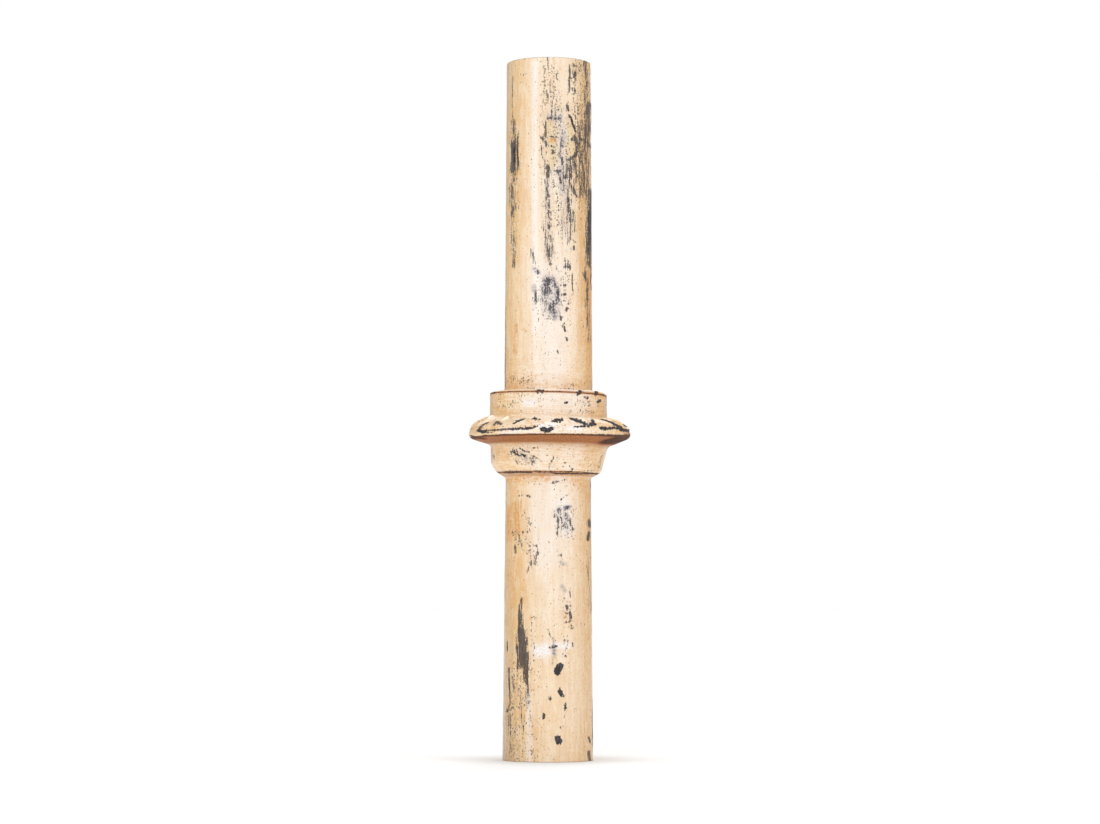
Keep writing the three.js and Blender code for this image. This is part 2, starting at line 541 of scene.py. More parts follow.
# What the photograph shows on the shaft above the collar.
UPPER_SHAFT: Marks = {
    Layer.BARE: [
        Mark("left streak, bare heart", 4.2, ((513.6, 148), (514.2, 165)), end=0.7),
        Mark("dash near the top", 1.5, ((523.8, 74.8), (526.4, 73.2))),
        Mark("top right dot", 2.0, ((567.4, 93), (567.6, 94.4))),
        Mark("right crack", 3.0, ((569.2, 115.6), (572, 120), (573.2, 125), (575.4, 132))),
        Mark("crack", 2.0, ((547.8, 137.2), (556, 137))),
        Mark("crack, thin end", 1.3, ((556, 137.2), (561, 138))),
        Mark("right black edge", 4.6, ((590.4, 216), (590.0, 246)), end=0.6),
        Mark("right black edge, head", 4.6, ((590.4, 216), (590.9, 202)), end=0.3),
        Mark("right black edge, inner strand", 3.2, ((588.8, 210), (588.2, 258)), end=0.4),
        Mark("brown dot", 2.4, ((550.6, 264.2), (551.2, 265.6))),
        Mark("small blot", 2.0, ((573.8, 240.4), (575.6, 242.6))),
    ],
    Layer.RUBBED: [
        Mark("left, fine line", 2.4, ((512.4, 76), (512.4, 122)), 0.6),
        Mark("left streak, frayed start", 7.0, ((513.6, 121), (514.6, 144)), 0.8),
        Mark("left streak, core", 9.4, ((513.4, 144), (513.4, 170)), 1.3),
        Mark("left streak, second strand", 4.4, ((517, 139), (518, 165))),
        Mark("left streak, haze", 14.0, ((514.8, 138), (514.8, 170)), 0.78),
        Mark("left streak, tail", 6.4, ((513.8, 170), (513.8, 182)), 0.9, end=0.6),
        Mark("left brown streak", 11.0, ((511.6, 186), (512.8, 216)), 0.78),
        Mark("left brown streak, dark line", 3.0, ((509.2, 187), (510.4, 212)), 0.7),
        Mark("left fine streak", 7.0, ((513, 216), (513.6, 266)), 0.68),
        Mark("left fine streak, threads", 2.6, ((513.4, 222), (513.6, 252)), 0.4),
        Mark("speckle, first line", 2.6, ((543, 76), (543.4, 104)), 0.5),
        Mark("speckle, second line", 3.0, ((550, 84), (550.4, 104)), 0.5),
        Mark("speckle, upper spot", 5.6, ((555, 72), (555.6, 77)), 0.8),
        Mark("speckle, lower spot", 4.6, ((553, 86), (553.6, 96)), 0.66),
        Mark("arc over the slate patch", 2.2, ((557, 109.8), (561, 108.4), (565.4, 109.4)), 1.2),
        Mark("slate patch", 5.0, ((548, 118.6), (559, 118.8)), 0.95),
        Mark("slate patch, shoulder", 7.0, ((551, 111.6), (553.8, 117)), 0.85),
        Mark("top right line", 3.0, ((570, 64), (569.4, 93)), 0.95),
        Mark("top right spot", 5.0, ((573, 64.6), (576, 66))),
        Mark("top right blot", 4.6, ((575.4, 72), (574.6, 76)), 1.2),
        Mark("top right hook", 4.2, ((570, 88.4), (575.4, 90)), 1.1),
        Mark("blot over the right crack", 5.0, ((566.8, 104.8), (568.2, 110)), 1.2),
        Mark("right crack, blot", 8.0, ((574.4, 137.6), (577, 142)), 1.1),
        Mark("right crack, arm", 3.0, ((570.2, 139), (574, 140)), 1.1),
        Mark("right crack, lower", 5.4, ((578.4, 143), (578.8, 149.6))),
        Mark("right crack, foot", 4.8, ((578, 151), (575.6, 155), (571.4, 158.8), (567.6, 160)), 1.1),
        Mark("islands' edge, between", 4.4, ((561, 120), (562, 136), (559.6, 158)), 0.62),
        Mark("islands' edge, right", 5.0, ((576, 143), (577, 152)), 0.9),
        Mark("islands' edge, upper left", 6.4, ((545, 122), (545.4, 137)), 0.72),
        Mark("islands' edge, left blots", 6.0, ((541.6, 137.4), (544.6, 141), (547.6, 145.4)), 0.95),
        Mark("islands' edge, left", 2.6, ((541.8, 146), (542, 155), (545, 163)), 0.95),
        Mark("spot under the crack", 3.0, ((551.8, 149.6), (553.2, 152.6)), 1.2),
        Mark("left blot", 11.0, ((547.6, 167), (548.4, 176)), 0.85),
        Mark("left blot, stalk", 3.0, ((544.6, 162), (546, 168)), 0.8),
        Mark("middle dash", 4.2, ((553.6, 170), (560, 171)), 1.15),
        Mark("left lilac tail, threads", 6.0, ((547.8, 178), (547.4, 196)), 0.75),
        Mark("right web", 13.0, ((571, 160), (569, 178)), 0.86),
        Mark("right web, left strand", 4.4, ((562, 158), (563.4, 170)), 0.9),
        Mark("right web, knot", 6.0, ((564, 177), (571, 176)), 1.05),
        Mark("right web, branch", 5.4, ((569, 180), (573, 190), (576.4, 196))),
        Mark("right web, left branch", 5.0, ((558, 174), (561, 183)), 0.95),
        Mark("right web, foot", 12.0, ((568, 200), (570.6, 220)), 0.9),
        Mark("right web, foot thread", 3.0, ((573.6, 212), (574.2, 231)), 0.85),
        Mark("right edge, upper line", 6.4, ((585, 62), (586.4, 80), (585.4, 104)), 0.9),
        Mark("right edge, upper field", 12.0, ((588, 104), (588, 128)), 0.95),
        Mark("right brown field", 24.0, ((584.6, 126), (583, 190)), 0.8),
        Mark("right brown field, inner", 18.0, ((577, 164), (578, 184)), 0.74),
        Mark("right brown field, knot", 8.0, ((580, 138), (590, 146))),
        Mark("right brown field, lower thread", 5.0, ((584.6, 184), (587, 198)), 0.9),
        Mark("right black edge, worn", 8.0, ((590.2, 220), (589.4, 258)), 1.25, end=0.5),
        Mark("right black edge, worn head", 8.0, ((590.2, 220), (590.6, 192)), 1.25, end=0.3),
        Mark("network's foot", 24.0, ((564, 172), (567, 240)), 0.5),
        Mark("middle tail, threads", 14.0, ((547.6, 180), (549, 262)), 0.5),
        Mark("top middle, threads", 22.0, ((551, 60), (551, 112)), 0.46),
        Mark("right black edge, frayed", 13.0, ((590, 192), (588.6, 264))),
        Mark("right black edge, tail", 3.0, ((591, 262), (591, 290)), 0.9),
        Mark("middle specks, upper", 7.0, ((547, 199), (549, 207)), 0.8),
        Mark("middle specks", 6.4, ((549.2, 212), (549.2, 228)), 0.9),
        Mark("middle specks, thread", 2.6, ((544, 220), (544, 231)), 0.9),
        Mark("middle specks, small", 3.6, ((548.6, 233), (549.6, 239)), 0.86),
        Mark("middle specks, lower", 7.4, ((548.6, 245), (549.6, 254)), 0.82),
        Mark("speckle, right of middle", 5.4, ((569.6, 233), (570, 241)), 0.8),
        Mark("small blot, lower", 3.0, ((573.6, 246.4), (574.2, 249.4)), 1.2),
        Mark("right dark patch", 8.0, ((566.4, 266.6), (569.4, 267.6))),
        Mark("right dark patch, frayed", 8.0, ((566, 260), (568, 264)), 0.66),
        Mark("left diagonal specks", 6.0, ((531.6, 249), (534.4, 263)), 0.72),
        Mark("left diagonal blot, dark", 5.6, ((534.5, 269), (538.6, 273.4)), 0.85),
        Mark("keyhole, top", 11.6, ((547.2, 280.2), (551, 280.2)), 0.86),
        Mark("keyhole, left lobe", 9.0, ((545.8, 285), (546.4, 293)), 0.86),
        Mark("keyhole, left edge", 4.0, ((541.8, 288), (542.6, 293)), 0.8),
        Mark("keyhole, right lobe", 5.8, ((554.4, 284.4), (557.4, 290), (557.2, 300)), 0.95),
        Mark("keyhole, right foot", 8.4, ((555, 303), (552.6, 307), (555.4, 312.4)), 0.9),
        Mark("keyhole, left foot", 8.0, ((544.4, 301), (549.6, 308)), 0.75),
        Mark("keyhole, tail", 5.0, ((554.6, 313), (554.8, 321)), 0.8, end=0.6),
        Mark("specks under the triangle", 4.4, ((535, 292), (535.4, 302)), 0.8),
        Mark("right spot, first", 4.4, ((563.4, 285.4), (566, 285.4)), 1.1),
        Mark("right spot, second", 4.0, ((562.4, 295), (565.6, 294)), 1.2),
        Mark("right spot, third", 2.6, ((568.2, 303), (568.4, 304.8)), 1.3),
        Mark("right spot, fourth", 5.0, ((566, 309.6), (567.6, 308)), 1.2),
        Mark("right spot, fifth", 3.4, ((561, 317), (561, 319.6)), 1.1),
        Mark("right spot, sixth", 5.2, ((563.4, 325.6), (565.2, 330.6))),
        Mark("right spot, seventh", 4.4, ((566, 337), (567.4, 340))),
        Mark("dotted line", 2.4, ((572.2, 274), (572.2, 296)), 0.86),
        Mark("right edge dash", 3.6, ((583.4, 273.4), (585, 278.6))),
        Mark("right edge specks", 7.0, ((586, 266), (588.6, 340)), 0.7),
        Mark("speck in the pale ground", 2.0, ((557, 350), (558.6, 355))),
    ],
    Layer.SPECKS: [
        Mark("speckle, upper middle", 28.0, ((548, 72), (550, 104)), 0.72),
        Mark("top right speckle", 14.0, ((573, 66), (577, 100)), 0.8),
        Mark("spot under the crack, faint", 4.0, ((551, 145), (551.6, 149)), 0.9),
        Mark("right side, fine specks", 30.0, ((582, 66), (582, 200)), 0.8),
        Mark("islands' network", 44.0, ((558, 116), (560, 216)), 0.62),
        Mark("left side, fine specks", 12.0, ((514, 120), (514, 260)), 0.7),
        Mark("middle speckle field", 18.0, ((548, 196), (550, 258)), 0.8),
        Mark("right dark patch, dots", 6.0, ((556, 268), (561, 270)), 0.9),
        Mark("keyhole, speckle", 30.0, ((548, 286), (552, 314)), 0.72),
        Mark("speckle left of the keyhole", 16.0, ((537, 298), (541, 314)), 0.6),
        Mark("right spots, speckle", 15.0, ((565, 276), (565, 320)), 0.66),
        Mark("dotted line, end", 5.0, ((574, 280), (576.4, 283))),
        Mark("foot specks, left", 16.0, ((510, 378), (530, 384)), 0.6),
        Mark("foot specks, right", 12.0, ((572, 384), (588, 380)), 0.4),
    ],
    Layer.UNDERCOAT: [
        Mark("slate patch, halo", 10.0, ((549, 117.6), (559, 118))),
        Mark("lilac veil beside it", 10.0, ((558.6, 112), (561, 117)), 0.4),
        Mark("lilac patch", 10.0, ((563.8, 134), (562.4, 145)), 0.95),
        Mark("lilac patch, lower", 6.0, ((561, 148), (561.4, 158)), 0.6),
        Mark("left lilac tail", 6.0, ((547.6, 178), (547.4, 195)), 0.8),
        Mark("right web, lilac", 14.0, ((565, 160), (563, 190)), 0.62),
        Mark("right web, lilac foot", 12.0, ((566, 198), (569, 220)), 0.5),
        Mark("network's foot, lilac", 20.0, ((566, 180), (568, 232)), 0.3),
        Mark("middle tail, lilac", 12.0, ((547.6, 192), (549, 256)), 0.34),
        Mark("islands' network, lilac", 40.0, ((558, 120), (560, 168)), 0.34),
        Mark("lilac dash", 2.2, ((565.6, 250.2), (572, 249.8)), 1.2),
        Mark("left diagonal blot", 6.0, ((534.5, 269), (538.4, 273))),
        Mark("keyhole, halo", 24.0, ((548.6, 284), (552, 308)), 0.6),
        Mark("keyhole, slate top", 13.0, ((547.2, 280.2), (551, 280.2)), 1.4),
        Mark("keyhole, slate left", 10.0, ((545.8, 285), (546.4, 294)), 1.4),
        Mark("keyhole, slate right", 7.6, ((555.4, 284), (557.4, 292), (557, 303)), 1.4),
        Mark("keyhole, slate foot", 10.0, ((554, 304), (552, 309), (555, 316)), 1.4),
        Mark("grey triangle", 7.0, ((534, 287), (534.6, 291))),
    ],
    Layer.STAIN: [
        Mark("primer under the crack", 5.0, ((549.4, 140.2), (554.6, 140.4)), 1.5),
        Mark("right brown field, tint", 26.0, ((584, 120), (581, 188)), 0.3),
        Mark("right orange strip", 6.0, ((581, 104), (581.6, 134)), 0.5),
        Mark("right orange foot", 9.0, ((581, 196), (581, 236)), 0.5),
        Mark("yellow patch round the dot", 13.0, ((549, 262), (552, 272)), 0.22),
        Mark("right edge, brown", 8.0, ((588.6, 262), (589, 330)), 0.9),
        Mark("orange stain, left", 7.0, ((516, 326), (514.6, 352)), 0.8),
        Mark("orange patch, left", 7.4, ((524.6, 358), (527, 362)), 0.5),
        Mark("dash, left", 2.8, ((522.6, 328), (525.6, 331)), 1.2),
        Mark("orange foot, left", 18.0, ((508, 380), (530, 384)), 0.6),
        Mark("orange foot, far left", 10.0, ((507, 352), (508, 386)), 0.55),
        Mark("orange right side", 10.0, ((590, 316), (590.4, 384)), 0.8),
        Mark("orange right side, upper", 16.0, ((583, 236), (582, 340)), 0.3),
        Mark("orange foot, right", 12.0, ((566, 386), (590, 380)), 0.4),
    ],
    Layer.PALE: [
        # painted highlight: the gloss band down the upper shaft
        Mark("gloss side, lilac band", 8.0, ((534.6, 62), (534.6, 200), (535, 330)), 0.6),
        Mark("lilac ground", 16.0, ((561, 120), (560, 190)), 0.35),
        # painted sheen down the middle of the front
        Mark("pale ground", 38.0, ((549, 272), (553, 372)), 0.42),
    ],
    Layer.FRESH: [
        Mark("upper island", 22.0, ((551, 126), (551.6, 133))),
        Mark("lower island", 17.0, ((553.6, 145), (552.6, 163))),
        Mark("right upper island", 12.0, ((569.4, 121), (571, 134))),
        Mark("right lower island", 16.0, ((569.6, 146), (571, 152)), 1.1),
    ],
}

# What it shows on the band, the leaves, the rim and the lower ring.
COLLAR: Marks = {
    Layer.BARE: [
        Mark("band edge, far left chip", 3.4, ((491.4, 393.8), (494.6, 393.2))),
        Mark("band edge, middle chip", 3.2, ((537.6, 390.2), (543, 390.2))),
        Mark("band edge, middle dash", 1.4, ((544, 389.3), (547.6, 389.2))),
        Mark("band edge, right dash", 1.5, ((559, 388.8), (565, 389.2))),
        Mark("band edge, right line", 2.6, ((568, 389), (576, 389.8))),
        Mark("band edge, right chip", 4.6, ((577.8, 393.4), (580.8, 390.6))),
        Mark("band chip, right", 3.0, ((585.2, 396.4), (588.4, 397.2))),
        Mark("band chip, far right", 4.2, ((595.8, 393.2), (598.2, 391.6), (600.4, 391.4))),
        Mark("band chip, far right, lower", 3.4, ((597.6, 400.8), (599.8, 399.6))),
        Mark("band spot", 2.6, ((565.2, 402.4), (567, 402))),
        Mark("band dark spot, left", 2.2, ((513.2, 402.2), (514, 402.8))),
        Mark("leaf edge, left", 4.0, ((514, 423), (518, 420.8), (521, 419.6))),
        Mark("leaf edge, left head", 5.0, ((520.4, 419.8), (523.6, 418.8))),
        Mark("leaf edge, left fork", 2.2, ((513.4, 420), (517.4, 420.4))),
        Mark("leaf edge, middle left", 4.0, ((533, 418.8), (537, 420.2), (540.6, 420.8)), end=0.6),
        Mark("leaf mark, middle", 6.6, ((553.8, 420.8), (557, 419.8), (561, 420.2))),
        Mark("leaf mark, first root", 3.4, ((556.8, 421), (557.6, 422.8)), end=0.5),
        Mark("leaf mark, second root", 3.4, ((559.8, 421), (560, 423)), end=0.5),
        Mark("leaf mark, horn", 2.4, ((561.2, 420), (562.2, 417.8)), end=0.5),
        Mark("right leaf, wisp", 2.6, ((569.6, 417.4), (573, 418.4))),
        Mark("right leaf, head", 9.0, ((572.6, 418.8), (577.6, 420.8))),
        Mark("right leaf, tip", 8.0, ((577.6, 420.8), (582, 422.8), (587, 426.4)), end=0.3),
        Mark("bud, stem", 3.6, ((592, 419.4), (592.4, 423)), end=1.6),
        Mark("bud, cup", 5.4, ((590.4, 424.8), (594.4, 424.2))),
        Mark("far right leaf", 9.0, ((603.4, 419.6), (609, 421.8), (615, 425)), end=0.8),
        Mark("far right leaf, tip", 6.0, ((615, 425), (620, 427.4)), end=0.5),
        Mark("far right leaf, second", 7.0, ((619, 422.6), (623, 425.4))),
        Mark("rim line, far left", 5.0, ((477, 430.4), (481, 431.8), (484.8, 431.2))),
        Mark("rim line, far left, upper branch", 2.6, ((485, 431), (490, 430), (496.4, 430))),
        Mark("rim line, far left, lower branch", 1.4, ((484, 433), (493, 432.4))),
        Mark("rim line, left of middle", 3.2, ((512, 429), (520, 428.6), (528, 428.4))),
        Mark("rim blot, left of middle", 4.4, ((526, 428.6), (533, 427.6)), end=0.7),
        Mark("rim line, rising", 1.3, ((533, 427.2), (537.6, 426.4))),
        Mark("rim blot, middle", 6.2, ((542, 428.8), (547, 430.2), (551, 428.8))),
        Mark("rim blot, belly", 5.0, ((544.4, 430.8), (549, 430.8))),
        Mark("rim blot, left point", 2.4, ((542, 428.6), (538.4, 427.4)), end=0.4),
        Mark("rim blot, right point", 2.4, ((551, 428.8), (554.4, 427.4)), end=0.4),
        Mark("rim line, right", 2.4, ((574.6, 427), (581, 426.2), (589, 426.6))),
        Mark("rim blot, right", 5.0, ((600.6, 428), (605, 429.2))),
        Mark("rim line, far right", 3.4, ((605, 428.8), (613, 427.8), (620, 429))),
        Mark("rim line, right end", 4.4, ((620, 430), (628.6, 431.6))),
        # the rim's lower edge: a dark line, partly worn paint and partly painted shadow under the rim
        Mark("rim edge, left end", 3.0, ((470, 436), (477, 437.4), (484, 436.4))),
        Mark("rim edge, left", 2.6, ((494, 435.8), (508, 435), (520, 434.6))),
        Mark("rim edge, middle bump", 2.8, ((533.6, 434.4), (538.6, 434.2))),
        Mark("rim edge, right", 2.8, ((572, 434.6), (600, 435), (618, 435.6))),
        Mark("rim edge, right end", 4.0, ((618, 436), (630, 436.6))),
        Mark("ring speckle, blot", 4.2, ((522.8, 457.2), (524.6, 458))),
        Mark("ring speckle, first spot", 2.6, ((513, 453.8), (515.4, 454.8))),
        Mark("ring speckle, second spot", 2.2, ((517, 456.4), (519.6, 458))),
        Mark("ring scratch, lower", 1.5, ((530, 455.6), (536, 458.4), (541.4, 461.6))),
        Mark("ring dash", 1.2, ((533, 448.6), (538, 448.4))),
        Mark("ring chip, middle", 1.8, ((553.6, 456.6), (551.8, 460.8))),
        Mark("ring dot, middle", 1.6, ((553.4, 462), (553.8, 462.2))),
        Mark("ring dot, right", 1.7, ((565, 461.4), (565.4, 461.8))),
        Mark("ring chip, right", 2.2, ((572.2, 467.8), (572.8, 469.4))),
        # the ring's lip: a dark line, partly worn paint and partly painted shadow under the ring
        Mark("lip, far left", 1.7, ((498, 472.8), (507, 473.4))),
        Mark("lip, left", 3.4, ((507, 473.2), (517, 472.6))),
        Mark("lip, left bump", 3.8, ((517, 472.2), (531, 472.6))),
        Mark("lip, middle", 1.6, ((536, 472.8), (555, 472.8))),
        Mark("lip, middle bump", 2.6, ((549.6, 471.6), (550.6, 471))),
        Mark("lip, right bump", 3.6, ((566.8, 471.6), (571.4, 471.4))),
        Mark("lip, right line", 3.8, ((555, 473.4), (578, 473.8), (598, 474))),
    ],
    Layer.RUBBED: [
        Mark("band edge, left line", 3.4, ((495.6, 392.2), (504, 390.8)), 1.3),
        Mark("band edge, middle speckle", 7.0, ((538.4, 391.6), (541.4, 392.4))),
        Mark("leaf curl, far left", 6.0, ((479.6, 427.4), (483, 424), (486, 423)), 1.2),
        Mark("leaf curl, left", 5.2, ((494.4, 424.8), (497.6, 422.6), (501, 424)), 1.1),
        Mark("rim line, left", 3.0, ((498, 430), (505, 429.2), (512, 428.8)), 1.4),
        Mark("ring scratch", 3.0, ((520.6, 450), (524, 452.4), (529.4, 453.6)), 1.1),
        Mark("ring speckle, lower blot", 4.6, ((532.4, 463.8), (534.6, 462.4)), 1.1),
        Mark("ring thread, middle", 2.0, ((549.6, 464), (549.4, 470)), 0.75),
        Mark("ring stain, far left", 4.0, ((495, 460), (495.4, 463)), 0.9),
    ],
    Layer.SPECKS: [
        Mark("band speckle, left", 12.0, ((511, 406), (518, 402)), 0.85),
        Mark("band speckle, far left", 6.0, ((498, 409), (505, 408.6)), 0.8),
        Mark("band specks, right", 5.0, ((562, 411), (592, 411)), 0.75),
        Mark("band specks, upper right", 8.0, ((581, 400), (592, 404)), 0.75),
        Mark("band specks, left", 6.0, ((500, 395), (500, 401)), 0.7),
        Mark("far right specks", 6.0, ((624, 425), (629, 429))),
        Mark("ring speckle", 13.0, ((514, 455), (524, 458), (532, 462)), 0.95),
        Mark("ring, fine specks", 22.0, ((552, 460), (596, 460)), 0.36),
        Mark("band, fine specks", 24.0, ((496, 402), (604, 402)), 0.28),
        Mark("ring specks below the blot", 6.0, ((517, 464), (522, 464)), 0.9),
        Mark("ring specks, middle", 8.0, ((549, 466), (556, 460)), 0.85),
        Mark("ring specks, right", 8.0, ((564, 464), (574, 466)), 0.85),
        Mark("ring specks, far right", 5.0, ((584, 470), (600, 469)), 0.85),
        Mark("ring right edge", 5.0, ((602.6, 452), (601, 462))),
    ],
    Layer.UNDERCOAT: [
        Mark("ring speckle, haze", 14.0, ((516, 455), (532, 462)), 0.3),
    ],
    Layer.STAIN: [
        Mark("band stain, far left", 6.0, ((494, 409.6), (496.6, 409)), 0.9),
        Mark("band stain, right foot", 6.0, ((589.6, 413), (592, 413)), 0.8),
        Mark("band tan, left end", 12.0, ((492, 397), (494, 412)), 0.45),
        Mark("band tan, right end", 12.0, ((604, 396), (604, 414)), 0.35),
        Mark("brown line by the bud", 2.0, ((598.8, 419), (599.4, 424)), 1.3),
        # stain and painted shade in the hollows between the leaves
        Mark("slope, first hollow", 4.6, ((492, 418), (493.6, 428))),
        Mark("slope, second hollow", 4.0, ((511, 417), (512.4, 424)), 0.8),
        Mark("slope, third hollow", 5.6, ((528, 419), (531.6, 425.6)), 1.1),
        Mark("slope, fourth hollow", 4.6, ((539, 421.6), (544.6, 424))),
        Mark("slope, fifth hollow", 4.0, ((567.6, 417), (569.4, 422)), 0.9),
        Mark("slope, sixth hollow", 3.6, ((584, 419), (588, 422)), 0.7),
        Mark("ring stain, left", 4.0, ((508, 458), (508.4, 462)), 1.1),
        Mark("ring tan, right", 16.0, ((588, 450), (600, 466)), 0.5),
    ],
    Layer.PALE: [
        Mark("band chalk", 13.0, ((527, 403), (533, 403)), 0.9),
        Mark("band pale middle", 34.0, ((552, 400), (576, 400)), 0.42),
        # chalky worn rim with painted highlights on it
        Mark("rim chalk, middle", 8.0, ((541, 426), (553, 426)), 1.3),
        Mark("rim chalk, right", 6.0, ((570, 428.2), (580, 427.6)), 1.3),
        Mark("rim chalk, left", 5.0, ((500, 432), (536, 431.6)), 0.6),
    ],
    Layer.GRIME: [
        # painted shade darkening the soffit's two ends
        Mark("soffit, dark right end", 19.0, ((608, 441), (628, 438)), 0.95),
        Mark("soffit, dark left end", 8.0, ((470, 437.4), (482, 438.6)), 0.5),
    ],
}

